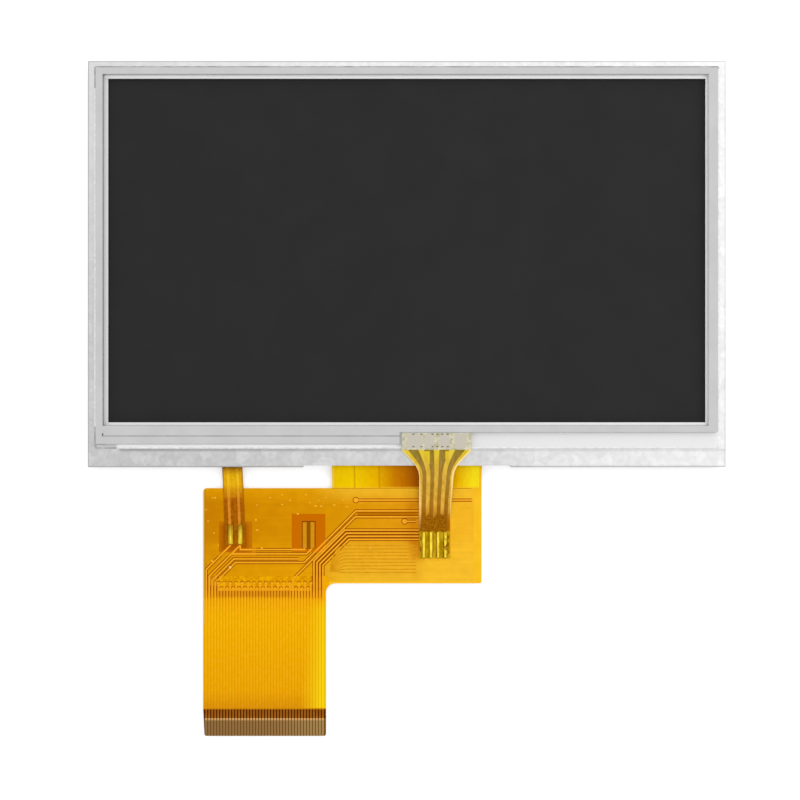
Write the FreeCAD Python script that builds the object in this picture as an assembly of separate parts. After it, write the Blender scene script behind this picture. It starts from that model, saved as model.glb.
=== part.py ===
import FreeCAD, Part
import math
import os

os.makedirs("parts", exist_ok=True)

# A 4.3 inch colour display module with a resistive touch panel, in millimetres.
# It lies on its back: +Z points out of the touch face, +X is to the right and the
# flexible circuit leaves towards -Y. The origin is the centre of the back face.

# Window in the bezel, and the borders around it that give the outline
window_length = 98.7
window_width = 56.8
side_border = 3.4
top_border = 2.97
bottom_border = 7.43

# Folded sheet metal
bezel_sheet = 0.2
chassis_sheet = 0.2
fold_clearance = 0.05
bezel_fold_radius = 0.3
bezel_wall_lift = 0.35
chassis_wall_top = 2.0
corner_slit = 0.7

# Margins of each layer, measured outwards from the window's edges
gasket_margin = 0.2
gasket_width = 0.7
upper_polarizer_margin = 0.95
lower_polarizer_margin = 1.05
filter_glass_margin = 1.35
terminal_ledge = 3.5
glass_clearance = 0.2

# Touch panel, with its margins from the window's edges
touch_side_margin = 2.12
touch_top_margin = 1.9
touch_bottom_margin = 4.33
film_inset = 0.3
bus_bar_width = 0.6
bus_bar_thickness = 0.02

# Adhesive frames under and inside the touch panel, laid a little left of the window's middle
adhesive_left_margin = 0.68
spacer_right_margin = 0.3
tape_right_margin = 0.53
adhesive_top_margin = 0.52
spacer_bottom_margin = 0.54
tape_overhang = 0.12
short_band_margin = 1.58
long_band_margin = 3.52
band_split_margin = 2.12
band_split_width = 0.2
band_end_gap = 0.4

# Thickness of each layer, from the back up
reflector_thickness = 0.1
light_guide_thickness = 0.55
diffuser_thickness = 0.1
prism_thickness = 0.1
rim_tape_thickness = 0.05
lower_polarizer_thickness = 0.13
cell_glass_thickness = 0.5
upper_polarizer_thickness = 0.15
gasket_thickness = 0.22
mounting_tape_thickness = 0.15
touch_glass_thickness = 0.7
touch_spacer_thickness = 0.1
touch_film_thickness = 0.2

# Backlight, in an opening of the moulded frame
opening_side_inset = 0.35
opening_top_margin = 0.57
opening_bottom_margin = 3.03
light_guide_clearance = 0.2
light_guide_bottom_inset = 0.07
lug_length = 3.0
lug_reach = 0.7
lug_from_top = 11.2
lug_from_bottom = 13.2
film_clearance = 0.3
film_tab_length = 6.0
film_tab_reach = 0.7
film_tab_from_side = 19.0
led_count = 8
led_length = 3.8
led_depth = 1.0
led_height = 0.6
led_gap = 0.05
led_window_depth = 0.1
led_window_border = 0.12
rim_tape_cover = 0.6
mould_corner_radius = 0.8

# Latches between chassis and bezel
latch_length = 3.6
latch_height = 0.6
latch_reach = 0.12
latch_middle_z = 1.45
latch_clearance = 0.15
latch_from_corner = 10.75
latch_from_exit = 2.8
side_latch_from_corner = 15.6

# Driver chip on the ledge
chip_length = 20.4
chip_width = 1.2
chip_thickness = 0.3
chip_gap = 0.4

# Main flexible circuit, which hangs below the module's bottom edge
flex_thickness = 0.12
copper_thickness = 0.03
flex_underside = 0.55
neck_width = 25.0
bond_length = 1.3
neck_bend_inside = 1.4
neck_reach = 3.6
body_width = 46.5
body_height = 15.9
body_corner_radius = 0.6
outer_corner_radius = 0.3
inner_corner_radius = 1.6
tail_length = 25.5
neck_exit_margin = 4.7
neck_exit_depth = 0.3
neck_notch_clearance = 0.7
neck_notch_floor = 1.0

# Contacts at the end of the tail
contact_count = 40
contact_pitch = 0.5
contact_width = 0.35
contact_length = 2.95
tail_trace_width = 0.26
stiffener_thickness = 0.2
stiffener_length = 4.5
tail_taper = 0.2
tail_corner_radius = 0.3

# Traces and the slots around them in the ground plane
trace_width = 0.27
trace_gap = 0.13
plane_margin = 0.3
plane_right_margin = 1.35
plane_bottom_margin = 1.2
via_radius = 0.24
via_row_step = 0.9
thirtieth_contact = 29
end_via_radius = 0.42
neck_split_left = -8.7
neck_split_right = -4.55

# Rows of traces, measured down from the body's top edge
upper_row_drop = 2.0
fourth_contact_row_drop = 3.8
thirtieth_contact_row_drop = 4.79
stub_row_drop = 5.55
touch_rows_drop = 7.0
touch_rows_pitch = 0.52
spare_row_drop = 10.26
second_spare_row_drop = 10.98
third_contact_row_drop = 11.82
lower_row_drop = 12.42

# Lengths along the rows, and the 45 degree runs that leave them, measured along X
stub_length = 1.95
stub_from_touch = 0.45
touch_run = 4.36
touch_run_step = 0.27
thirtieth_contact_run = 10.39
fourth_contact_run = 3.4
fourth_contact_bend_x = -8.49
third_contact_run = 3.63
third_contact_row_length = 10.8
under_touch = 0.3

# Spare pads for a second backlight, and the plane's openings around the pads
spare_pad_width = 0.65
spare_pad_length = 4.3
spare_pad_pitch = 1.3
spare_pad_from_left = 17.6
spare_pad_drop = 7.85
spare_window_length = 5.6
spare_window_rise = 0.75
backlight_window_margin = 1.2

# Backlight tail, soldered on the body's left side
backlight_tail_width = 3.4
backlight_end_from_left = 5.4
backlight_lean = 0.5
backlight_strip_inset = 3.0
backlight_film_thickness = 0.1
backlight_bend_gap = 0.2
backlight_flat_gap = 0.2
backlight_tail_drop = 9.5
backlight_pad_pitch = 1.6
backlight_pad_width = 0.75
backlight_pad_length = 3.3
backlight_trace_width = 0.45
exit_clearance = 0.6

# Touch tail, soldered on the body's right side
touch_tail_film = 0.1
touch_middle_x = 4.9
touch_head_width = 11.4
touch_head_overlap = 2.6
touch_funnel_height = 4.3
touch_funnel_steps = 5
touch_strip_width = 5.65
touch_end_width = 5.2
touch_end_shift = -0.25
touch_bend_gap = 0.5
touch_flat_length = 1.9
touch_trace_count = 4
touch_head_pitch = 2.53
touch_head_trace = 1.6
touch_strip_pitch = 1.31
touch_strip_trace = 0.6
touch_pad_pitch = 1.2
touch_pad_drop = 7.2
touch_pad_length = 4.5
touch_pad_width = 0.62
solder_height = 0.12
solder_chamfer = 0.07

# Capacitors behind the circuit, measured from the body's left and top edges
capacitor_length = 1.6
capacitor_width = 0.8
capacitor_height = 0.5
capacitor_end_cap = 0.35
capacitor_cap_step = 0.03
capacitor_drops = (5.3, 9.3)
capacitor_places = (10.0, 13.0, 25.0, 28.0)


# Levels of the stack, worked out from the layer thicknesses
z_reflector = chassis_sheet
z_light_guide = z_reflector + reflector_thickness
z_diffuser = z_light_guide + light_guide_thickness
z_prism_lower = z_diffuser + diffuser_thickness
z_prism_upper = z_prism_lower + prism_thickness
z_rim_tape = z_prism_upper + prism_thickness
z_lower_polarizer = z_rim_tape + rim_tape_thickness
z_tft_glass = z_lower_polarizer + lower_polarizer_thickness
z_filter_glass = z_tft_glass + cell_glass_thickness
z_upper_polarizer = z_filter_glass + cell_glass_thickness
z_gasket = z_upper_polarizer + upper_polarizer_thickness
z_bezel = z_gasket + gasket_thickness
z_mounting_tape = z_bezel + bezel_sheet
z_touch_glass = z_mounting_tape + mounting_tape_thickness
z_touch_spacer = z_touch_glass + touch_glass_thickness
z_touch_film = z_touch_spacer + touch_spacer_thickness
z_front = z_touch_film + touch_film_thickness
z_copper = flex_underside + flex_thickness
z_on_copper = z_copper + copper_thickness
z_led_top = z_light_guide + led_height

# Half sizes of the nested walls
window_centre_y = (bottom_border - top_border) / 2
half_length = window_length / 2 + side_border
half_width = (window_width + top_border + bottom_border) / 2
chassis_half_length = half_length - bezel_sheet - fold_clearance
chassis_half_width = half_width - bezel_sheet - fold_clearance
frame_half_length = chassis_half_length - chassis_sheet - fold_clearance
frame_half_width = chassis_half_width - chassis_sheet - fold_clearance

# Edges of the flexible circuit
body_right = neck_width / 2
body_left = body_right - body_width
body_top = -half_width - neck_reach
body_bottom = body_top - body_height
tail_end = body_bottom - tail_length
tail_width = (contact_count + 1) * contact_pitch
tail_right = body_left + tail_width
tail_middle_x = body_left + tail_width / 2
plane_right = body_right - plane_right_margin
contact_top = tail_end + contact_length
neck_exit_half = neck_width / 2 + neck_exit_margin
backlight_end_x = body_left + backlight_end_from_left
backlight_exit_x = backlight_end_x - backlight_lean
backlight_tail_end = body_top - backlight_tail_drop
touch_pad_top = body_top - touch_pad_drop
touch_tail_end = touch_pad_top - touch_pad_length
touch_end_x = touch_middle_x + touch_end_shift


def save(name, shape):
    """Write one named piece."""
    shape.exportStep("parts/" + name + ".step")


def block(x_low, x_high, y_low, y_high, z_low, z_high):
    """A box between two corners."""
    corner = FreeCAD.Vector(x_low, y_low, z_low)
    return Part.makeBox(x_high - x_low, y_high - y_low, z_high - z_low, corner)


def sheet(region, z_low, thickness):
    """A flat sheet over a region (x low, x high, y low, y high)."""
    return block(*region, z_low, z_low + thickness)


def around_window(side, top, bottom):
    """The region that reaches past the bezel's window by these margins."""
    reach_x = window_length / 2 + side
    reach_y = window_width / 2
    return (-reach_x, reach_x, window_centre_y - reach_y - bottom, window_centre_y + reach_y + top)


def grown(region, margin):
    """The same region, larger by a margin on each side."""
    x_low, x_high, y_low, y_high = region
    return (x_low - margin, x_high + margin, y_low - margin, y_high + margin)


def ring(outer, inner, z_low, thickness):
    """A flat frame between two regions."""
    return sheet(outer, z_low, thickness).cut(sheet(inner, z_low, thickness))


def outline(points):
    """A closed flat face through XY points."""
    corners = [FreeCAD.Vector(x, y, 0) for x, y in points]
    return Part.Face(Part.makePolygon(corners + corners[:1]))


def prism(points, z_low, z_high):
    """An XY outline raised between two levels."""
    face = outline(points)
    face.translate(FreeCAD.Vector(0, 0, z_low))
    return face.extrude(FreeCAD.Vector(0, 0, z_high - z_low))


def round_edges_at(shape, radius, x, y):
    """Round the upright edge that stands at one XY place."""
    chosen = []
    for edge in shape.Edges:
        ends = [vertex.Point for vertex in edge.Vertexes]
        upright = len(ends) == 2 and abs(ends[0].z - ends[1].z) > radius / 100
        here = all(math.hypot(end.x - x, end.y - y) < radius / 100 for end in ends)
        if upright and here:
            chosen.append(edge)
    return shape.makeFillet(radius, chosen)


def stroke(points, width):
    """The outline of a line of constant width, with mitred corners."""
    left = []
    right = []
    last = len(points) - 1
    for index, (x, y) in enumerate(points):
        before = points[max(index - 1, 0)]
        after = points[min(index + 1, last)]
        arriving = math.atan2(y - before[1], x - before[0]) if index > 0 else None
        leaving = math.atan2(after[1] - y, after[0] - x) if index < last else None
        arriving = leaving if arriving is None else arriving
        leaving = arriving if leaving is None else leaving
        half_turn = (leaving - arriving) / 2
        aside = arriving + half_turn + math.pi / 2
        reach = width / 2 / math.cos(half_turn)
        left.append((x + reach * math.cos(aside), y + reach * math.sin(aside)))
        right.append((x - reach * math.cos(aside), y - reach * math.sin(aside)))
    return left + right[::-1]


def together(shapes):
    """Separate solids kept in one piece's file."""
    return Part.makeCompound(shapes)


# Flexible films leave their joint level, drop in an S of two equal arcs and run on flat.
# A route is (start y, bend start y, flat start y, end y, upper level, lower level) of the
# film's underside.

def formed_layer(route, low, high, x_low, x_high):
    """A layer of a formed film, between two heights above the film's underside."""
    y_start, y_bend, y_flat, y_end, z_upper, z_lower = route
    half_angle = math.atan((z_upper - z_lower) / (y_bend - y_flat))
    angle = 2 * half_angle
    radius = (y_bend - y_flat) / 2 / math.sin(angle)

    def upper_arc(height, turn):
        reach = radius + height
        return FreeCAD.Vector(
            x_low, y_bend - reach * math.sin(turn), z_upper - radius + reach * math.cos(turn)
        )

    def lower_arc(height, turn):
        reach = radius - height
        return FreeCAD.Vector(
            x_low, y_flat + reach * math.sin(turn), z_lower + radius - reach * math.cos(turn)
        )

    def surface(height):
        start = FreeCAD.Vector(x_low, y_start, z_upper + height)
        end = FreeCAD.Vector(x_low, y_end, z_lower + height)
        bend_in = upper_arc(height, 0)
        middle = upper_arc(height, angle)
        bend_out = lower_arc(height, 0)
        return [
            Part.makeLine(start, bend_in),
            Part.Arc(bend_in, upper_arc(height, half_angle), middle).toShape(),
            Part.Arc(middle, lower_arc(height, half_angle), bend_out).toShape(),
            Part.makeLine(bend_out, end),
        ]

    under = surface(low)
    over = surface(high)
    front = Part.makeLine(over[-1].Vertexes[-1].Point, under[-1].Vertexes[-1].Point)
    back = Part.makeLine(under[0].Vertexes[0].Point, over[0].Vertexes[0].Point)
    profile = Part.Face(Part.Wire(Part.__sortEdges__(under + over + [front, back])))
    return profile.extrude(FreeCAD.Vector(x_high - x_low, 0, 0))


def formed_film(route, points, low, high):
    """A formed film cut to an XY outline."""
    x_values = [x for x, y in points]
    slab = formed_layer(route, low, high, min(x_values) - 1, max(x_values) + 1)
    top = route[4] + high + 1
    return slab.common(prism(points, -1, top)).removeSplitter()


# Sheet metal

def latch_blocks(grow, reach):
    """Blocks at each latch on the four walls, larger than a latch by grow."""
    half = latch_length / 2 + grow
    low = latch_middle_z - latch_height / 2 - grow
    high = latch_middle_z + latch_height / 2 + grow
    blocks = []
    outer_x = half_length - latch_from_corner
    inner_x = neck_exit_half + latch_from_exit
    side_y = half_width - side_latch_from_corner
    for x in (-outer_x, -inner_x, inner_x, outer_x):
        for side in (-1, 1):
            edges = sorted((side * (chassis_half_width - fold_clearance), side * reach[1]))
            blocks.append(block(x - half, x + half, edges[0], edges[1], low, high))
    for y in (-side_y, side_y):
        for side in (-1, 1):
            edges = sorted((side * (chassis_half_length - fold_clearance), side * reach[0]))
            blocks.append(block(edges[0], edges[1], y - half, y + half, low, high))
    return blocks


def corner_slits(outer_x, outer_y, z_low, z_high):
    """The open corners where two folded walls meet."""
    return [
        block(
            min(side_x * outer_x, side_x * (outer_x - corner_slit)),
            max(side_x * outer_x, side_x * (outer_x - corner_slit)),
            min(side_y * outer_y, side_y * (outer_y - corner_slit)),
            max(side_y * outer_y, side_y * (outer_y - corner_slit)),
            z_low,
            z_high,
        )
        for side_x in (-1, 1)
        for side_y in (-1, 1)
    ]


def backlight_exit(z_low, z_high):
    """The way out for the backlight's tail, through every bottom wall."""
    half = backlight_tail_width / 2 + exit_clearance
    return block(
        backlight_exit_x - half,
        backlight_exit_x + half,
        -half_width - 1,
        frame_opening()[2],
        z_low,
        z_high,
    )


def front_bezel():
    shell = block(-half_length, half_length, -half_width, half_width, bezel_wall_lift, z_mounting_tape)
    top_edges = [
        edge for edge in shell.Edges
        if all(abs(vertex.Point.z - z_mounting_tape) < bezel_sheet / 100 for vertex in edge.Vertexes)
    ]
    shell = shell.makeFillet(bezel_fold_radius, top_edges)
    inside_x = half_length - bezel_sheet
    inside_y = half_width - bezel_sheet
    cuts = [block(-inside_x, inside_x, -inside_y, inside_y, 0, z_bezel)]
    cuts.append(sheet(around_window(0, 0, 0), z_bezel - 1, bezel_sheet + 2))
    cuts += corner_slits(half_length, half_width, 0, z_bezel - bezel_fold_radius)
    cuts += latch_blocks(latch_clearance, (half_length + 1, half_width + 1))
    cuts.append(
        block(
            -neck_exit_half,
            neck_exit_half,
            -half_width - 1,
            -half_width + neck_exit_depth,
            0,
            z_front,
        )
    )
    cuts.append(backlight_exit(0, z_led_top + backlight_film_thickness + exit_clearance / 2))
    return shell.cut(cuts)


def rear_chassis():
    tray = block(
        -chassis_half_length,
        chassis_half_length,
        -chassis_half_width,
        chassis_half_width,
        0,
        chassis_wall_top,
    )
    inside_x = chassis_half_length - chassis_sheet
    inside_y = chassis_half_width - chassis_sheet
    cuts = [block(-inside_x, inside_x, -inside_y, inside_y, chassis_sheet, chassis_wall_top + 1)]
    cuts += corner_slits(chassis_half_length, chassis_half_width, chassis_sheet, chassis_wall_top + 1)
    half_notch = neck_width / 2 + neck_notch_clearance
    cuts.append(
        block(-half_notch, half_notch, -half_width, -inside_y, neck_notch_floor, chassis_wall_top + 1)
    )
    cuts.append(backlight_exit(z_led_top - exit_clearance / 4, chassis_wall_top + 1))
    tray = tray.cut(cuts)
    bumps = latch_blocks(0, (chassis_half_length + latch_reach, chassis_half_width + latch_reach))
    return tray.fuse(bumps).removeSplitter()


# Moulded frame and backlight

def frame_opening():
    return around_window(-opening_side_inset, opening_top_margin, opening_bottom_margin)


def glass_region():
    margin = filter_glass_margin
    return around_window(margin, margin, margin + terminal_ledge)


def light_guide_region(clearance):
    """The space of the light guide and the films on it, inside the opening."""
    x_low, x_high, y_low, y_high = grown(frame_opening(), -clearance)
    return (x_low, x_high, around_window(0, 0, -light_guide_bottom_inset)[2], y_high)


def lug_blocks(grow):
    """The light guide's locating lugs, or the frame's notches for them."""
    _, opening_half, opening_bottom, opening_top = frame_opening()
    inner = opening_half - lug_length / 2
    outer = opening_half - light_guide_clearance + lug_reach + grow
    half = lug_length / 2 + grow
    top = z_light_guide + light_guide_thickness
    blocks = []
    for y in (opening_bottom + lug_from_bottom, opening_top - lug_from_top):
        blocks.append(block(inner, outer, y - half, y + half, z_light_guide, top))
        blocks.append(block(-outer, -inner, y - half, y + half, z_light_guide, top))
    return blocks


def film_tabs(z_low, thickness, grow):
    """The tabs on the films' top edge, or the frame's notches for them."""
    _, opening_half, _, opening_top = frame_opening()
    half = film_tab_length / 2 + grow
    low = opening_top - film_tab_length / 2
    high = opening_top - film_clearance + film_tab_reach + grow
    place = opening_half - film_tab_from_side
    return [block(x - half, x + half, low, high, z_low, z_low + thickness) for x in (-place, place)]


def mould_frame():
    body = block(
        -frame_half_length,
        frame_half_length,
        -frame_half_width,
        frame_half_width,
        z_reflector,
        z_bezel,
    )
    uprights = [
        edge for edge in body.Edges
        if abs(edge.Vertexes[0].Point.z - edge.Vertexes[1].Point.z) > 1
    ]
    body = body.makeFillet(mould_corner_radius, uprights)
    cuts = [sheet(frame_opening(), 0, z_bezel)]
    cuts.append(sheet(grown(glass_region(), glass_clearance), z_rim_tape, z_bezel))
    cuts += lug_blocks(light_guide_clearance)
    cuts += film_tabs(z_diffuser, z_rim_tape - z_diffuser, light_guide_clearance)
    half_notch = neck_width / 2 + neck_notch_clearance
    cuts.append(
        block(-half_notch, half_notch, -half_width, frame_opening()[2], z_tft_glass, z_bezel + 1)
    )
    cuts.append(backlight_exit(z_led_top - exit_clearance / 4, z_rim_tape))
    return body.cut(cuts)


def reflector_sheet():
    return sheet(grown(frame_opening(), -light_guide_clearance), z_reflector, reflector_thickness)


def light_guide_plate():
    plate = sheet(light_guide_region(light_guide_clearance), z_light_guide, light_guide_thickness)
    return plate.fuse(lug_blocks(0)).removeSplitter()


def backlight_film(z_low, thickness):
    film = sheet(light_guide_region(film_clearance), z_low, thickness)
    return film.fuse(film_tabs(z_low, thickness, 0)).removeSplitter()


def rim_tape():
    outer = grown(glass_region(), -glass_clearance)
    inner = grown(light_guide_region(film_clearance), -rim_tape_cover)
    return ring(outer, inner, z_rim_tape, rim_tape_thickness)


def led_places():
    x_low, x_high, _, _ = light_guide_region(light_guide_clearance)
    spacing = (x_high - x_low) / led_count
    return [x_low + (index + 0.5) * spacing for index in range(led_count)]


def backlight_leds():
    y_high = light_guide_region(0)[2] - led_gap
    leds = []
    for x in led_places():
        package = block(
            x - led_length / 2,
            x + led_length / 2,
            y_high - led_depth,
            y_high,
            z_light_guide,
            z_led_top,
        )
        window = block(
            x - led_length / 2 + led_window_border,
            x + led_length / 2 - led_window_border,
            y_high - led_window_depth,
            y_high + 1,
            z_light_guide + led_window_border,
            z_led_top - led_window_border,
        )
        leds.append(package.cut(window))
    return together(leds)


# Liquid crystal cell

def colour_filter_glass():
    x_low, x_high, y_low, y_high = glass_region()
    return sheet((x_low, x_high, y_low + terminal_ledge, y_high), z_filter_glass, cell_glass_thickness)


def driver_chip():
    y_high = glass_region()[2] + terminal_ledge - chip_gap
    half = chip_length / 2
    return sheet((-half, half, y_high - chip_width, y_high), z_filter_glass, chip_thickness)


def even_margin(margin):
    return around_window(margin, margin, margin)


# Touch panel

def touch_region():
    return around_window(touch_side_margin, touch_top_margin, touch_bottom_margin)


def adhesive_inner(right, bottom):
    """The inner edge of an adhesive frame."""
    x_low, x_high, y_low, y_high = around_window(0, adhesive_top_margin, bottom)
    return (x_low - adhesive_left_margin, x_high + right, y_low, y_high)


def band_end():
    """Where the wide bottom band stops, beside the tail's head."""
    return touch_middle_x - touch_head_width / 2 - band_end_gap


def adhesive_frame(inner, overhang, z_low, thickness):
    """A flat frame, with a bottom band that is wide to the left of the tail's head."""
    x_low, x_high, _, y_high = grown(touch_region(), -film_inset)
    wide_bottom = around_window(0, 0, long_band_margin + overhang)[2]
    narrow_bottom = around_window(0, 0, short_band_margin + overhang)[2]
    wide = sheet((x_low, band_end(), wide_bottom, y_high), z_low, thickness)
    narrow = sheet((band_end(), x_high, narrow_bottom, y_high), z_low, thickness)
    return wide.fuse(narrow).removeSplitter().cut(sheet(inner, z_low, thickness))


def touch_mounting_tape():
    inner = adhesive_inner(tape_right_margin, spacer_bottom_margin - tape_overhang)
    return adhesive_frame(inner, tape_overhang, z_mounting_tape, mounting_tape_thickness)


def touch_spacer_adhesive():
    """The frame between glass and film, split along its bottom band, with room for the bus bars."""
    inner = adhesive_inner(spacer_right_margin, spacer_bottom_margin)
    frame = adhesive_frame(inner, 0, z_touch_spacer, touch_spacer_thickness)
    split_top = around_window(0, 0, band_split_margin)[2]
    split = sheet((inner[0], band_end(), split_top - band_split_width, split_top),
                  z_touch_spacer, touch_spacer_thickness)
    return frame.cut([split] + bus_bars())


def bus_bars():
    """Silver bars along the sides of the film and along the glass's top and bottom."""
    x_low, x_high, y_low, y_high = adhesive_inner(spacer_right_margin, spacer_bottom_margin)
    under_film = z_touch_film - bus_bar_thickness
    return [
        sheet((x_low - bus_bar_width, x_low, y_low, y_high), under_film, bus_bar_thickness),
        sheet((x_high, x_high + bus_bar_width, y_low, y_high), under_film, bus_bar_thickness),
        sheet((x_low, x_high, y_low - bus_bar_width, y_low), z_touch_spacer, bus_bar_thickness),
        sheet((x_low, x_high, y_high, y_high + bus_bar_width), z_touch_spacer, bus_bar_thickness),
    ]


def touch_route():
    bottom = touch_region()[2]
    return (
        bottom + touch_head_overlap,
        bottom - touch_bend_gap,
        touch_pad_top + touch_flat_length,
        touch_tail_end,
        z_touch_spacer,
        z_on_copper,
    )


def touch_outline(head_x, head_width, strip_x, strip_width, end_x, end_width, top):
    """A funnel that narrows from the panel's edge into a strip, then runs to the pads."""
    _, _, flat_y, end_y, _, _ = touch_route()
    funnel_top = touch_region()[2] - film_inset
    stations = [(head_x, head_width, top)]
    for step in range(touch_funnel_steps + 1):
        run = step / touch_funnel_steps
        share = math.sin(run * math.pi / 2)
        x = head_x + (strip_x - head_x) * share
        width = head_width + (strip_width - head_width) * share
        stations.append((x, width, funnel_top - run * touch_funnel_height))
    stations += [(end_x, end_width, flat_y), (end_x, end_width, end_y)]
    left = [(x - width / 2, y) for x, width, y in stations]
    right = [(x + width / 2, y) for x, width, y in stations]
    return left + right[::-1]


def touch_flex():
    points = touch_outline(
        touch_middle_x, touch_head_width, touch_middle_x, touch_strip_width,
        touch_end_x, touch_end_width, touch_route()[0],
    )
    return formed_film(touch_route(), points, 0, touch_tail_film)


def touch_flex_traces():
    traces = []
    for index in range(touch_trace_count):
        place = index - (touch_trace_count - 1) / 2
        points = touch_outline(
            touch_middle_x + place * touch_head_pitch, touch_head_trace,
            touch_middle_x + place * touch_strip_pitch, touch_strip_trace,
            touch_end_x + place * touch_pad_pitch, touch_pad_width,
            touch_region()[2] - film_inset / 2,
        )
        top = touch_tail_film + copper_thickness
        traces.append(formed_film(touch_route(), points, touch_tail_film, top))
    return together(traces)


def solder_bead(x, y_low, y_high, width, z_low):
    """A solder joint: a bead with rounded top edges."""
    bead = block(x - width / 2, x + width / 2, y_low, y_high, z_low, z_low + solder_height)
    top = [
        edge for edge in bead.Edges
        if all(vertex.Point.z > z_low + solder_height / 2 for vertex in edge.Vertexes)
    ]
    return bead.makeChamfer(solder_chamfer, top)


def touch_solder_joints():
    z_low = z_on_copper + touch_tail_film + copper_thickness
    beads = []
    for index in range(touch_trace_count):
        x = touch_end_x + (index - (touch_trace_count - 1) / 2) * touch_pad_pitch
        beads.append(solder_bead(x, touch_tail_end, touch_pad_top, touch_pad_width, z_low))
    return together(beads)


# Main flexible circuit

def neck_route():
    bond_start = glass_region()[2] + bond_length
    return (
        bond_start,
        -half_width + neck_bend_inside,
        body_top,
        body_bottom,
        z_filter_glass,
        flex_underside,
    )


def display_flex():
    half_neck = neck_width / 2
    neck = formed_film(
        neck_route(),
        [
            (-half_neck, neck_route()[0]),
            (half_neck, neck_route()[0]),
            (half_neck, body_top),
            (body_right, body_bottom),
            (body_left, body_bottom),
            (body_left, body_top),
            (-half_neck, body_top),
        ],
        0,
        flex_thickness,
    )
    neck = round_edges_at(neck, outer_corner_radius, body_right, body_bottom)
    neck = round_edges_at(neck, body_corner_radius, body_left, body_top)
    tail = prism(tail_outline(body_bottom), flex_underside, z_copper)
    fillet_block = sheet(
        (tail_right, tail_right + inner_corner_radius, body_bottom - inner_corner_radius, body_bottom),
        flex_underside,
        flex_thickness,
    )
    hollow = Part.makeCylinder(
        inner_corner_radius,
        flex_thickness,
        FreeCAD.Vector(tail_right + inner_corner_radius, body_bottom - inner_corner_radius, flex_underside),
    )
    return neck.fuse([tail, fillet_block.cut(hollow)]).removeSplitter()


def tail_corner(x, side):
    """The rounded corner at one side of the tail's end."""
    turns = [math.radians(22.5 * step) for step in range(5)]
    radius = tail_corner_radius
    middle_x = x - side * radius
    middle_y = tail_end + radius
    return [
        (middle_x + side * radius * math.cos(turn), middle_y - radius * math.sin(turn)) for turn in turns
    ]


def tail_outline(top):
    """The tail from a level down to its end, narrower there on the left."""
    taper_top = tail_end + stiffener_length
    left = tail_corner(body_left + tail_taper, -1)
    right = tail_corner(tail_right, 1)
    shoulder = [(body_left, taper_top)] if top > taper_top else []
    return [(tail_right, top)] + right + left[::-1] + shoulder + [(body_left, top)]


def contact_x(index):
    return tail_middle_x + (index - (contact_count - 1) / 2) * contact_pitch


def row(drop):
    """The level of a row of traces, below the body's top edge."""
    return body_top - drop


def diagonal(start, x):
    """The point where a 45 degree run from start reaches x, going down and to the left."""
    return (x, start[1] - (start[0] - x))


def row_to_contact(row_y, run, index):
    """A trace from under the touch tail, along a row, down at 45 degrees to its contact."""
    right_x = touch_end_x - touch_end_width / 2 + under_touch
    bend = (contact_x(index) + run, row_y)
    return [(right_x, row_y), bend, diagonal(bend, contact_x(index)), (contact_x(index), contact_top)]


def routed_traces():
    """The long traces: from the neck and from the two tails, each to its contact."""
    thirtieth_y = row(thirtieth_contact_row_drop)
    traces = [row_to_contact(thirtieth_y, thirtieth_contact_run, thirtieth_contact)]
    for step in range(touch_trace_count):
        index = contact_count - touch_trace_count + step
        run = touch_run + (touch_trace_count - 1 - step) * touch_run_step
        traces.append(row_to_contact(row(touch_rows_drop + step * touch_rows_pitch), run, index))
    # The row that comes down, turns left above the tail and ends on the fourth contact
    lower_y = row(lower_row_drop)
    bend = (fourth_contact_bend_x, row(fourth_contact_row_drop))
    turn_left = (bend[0] - (bend[1] - lower_y), lower_y)
    turn_down = (contact_x(3) + fourth_contact_run, lower_y)
    right_x = touch_end_x - touch_end_width / 2 + under_touch
    traces.append(
        [(right_x, bend[1]), bend, turn_left, turn_down, diagonal(turn_down, contact_x(3)),
         (contact_x(3), contact_top)]
    )
    # The row above it, to the third contact
    bend = (contact_x(2) + third_contact_run, row(third_contact_row_drop))
    traces.append(
        [(bend[0] + third_contact_row_length, bend[1]), bend, diagonal(bend, contact_x(2)),
         (contact_x(2), contact_top)]
    )
    # From the backlight's pads to the first two contacts
    for index in range(2):
        start = (backlight_end_x + (index - 0.5) * backlight_pad_pitch, backlight_tail_end)
        traces.append([start, diagonal(start, contact_x(index)), (contact_x(index), contact_top)])
    return traces


def upper_via():
    return (fourth_contact_bend_x, row(upper_row_drop))


def stub_via():
    return (touch_end_x - touch_end_width / 2 - stub_from_touch - stub_length, row(stub_row_drop))


def spare_traces():
    """From the backlight's pads to the bottom ends of the two spare pads."""
    pad_bottom = row(spare_pad_drop) - spare_pad_length / 2
    first_x = spare_pad_x() - spare_pad_pitch / 2
    second_x = spare_pad_x() + spare_pad_pitch / 2
    upper_y = row(spare_row_drop)
    lower_y = row(second_spare_row_drop)
    start = (backlight_end_x + backlight_pad_pitch / 2, backlight_tail_end)
    return [
        [start, (start[0], upper_y), (first_x, upper_y), (first_x, pad_bottom)],
        [diagonal(start, start[0] - (start[1] - lower_y)),
         (second_x - (pad_bottom - lower_y), lower_y), (second_x, pad_bottom)],
    ]


def short_traces():
    """Traces that end at a via."""
    via_x, via_y = upper_via()
    stub_x, stub_y = stub_via()
    return [
        [(via_x, via_y), (plane_right, via_y)],
        [(stub_x, stub_y), (stub_x + stub_length, stub_y)],
    ]


def via_contacts():
    """Contacts whose traces end at a via above the tail."""
    last = contact_count - touch_trace_count
    return [index for index in range(4, last) if index != thirtieth_contact]


def via_row(index):
    """Two staggered rows, which change places beyond the thirtieth contact."""
    upper = (index % 2 == 0) == (index < thirtieth_contact)
    return body_bottom if upper else body_bottom - via_row_step


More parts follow.
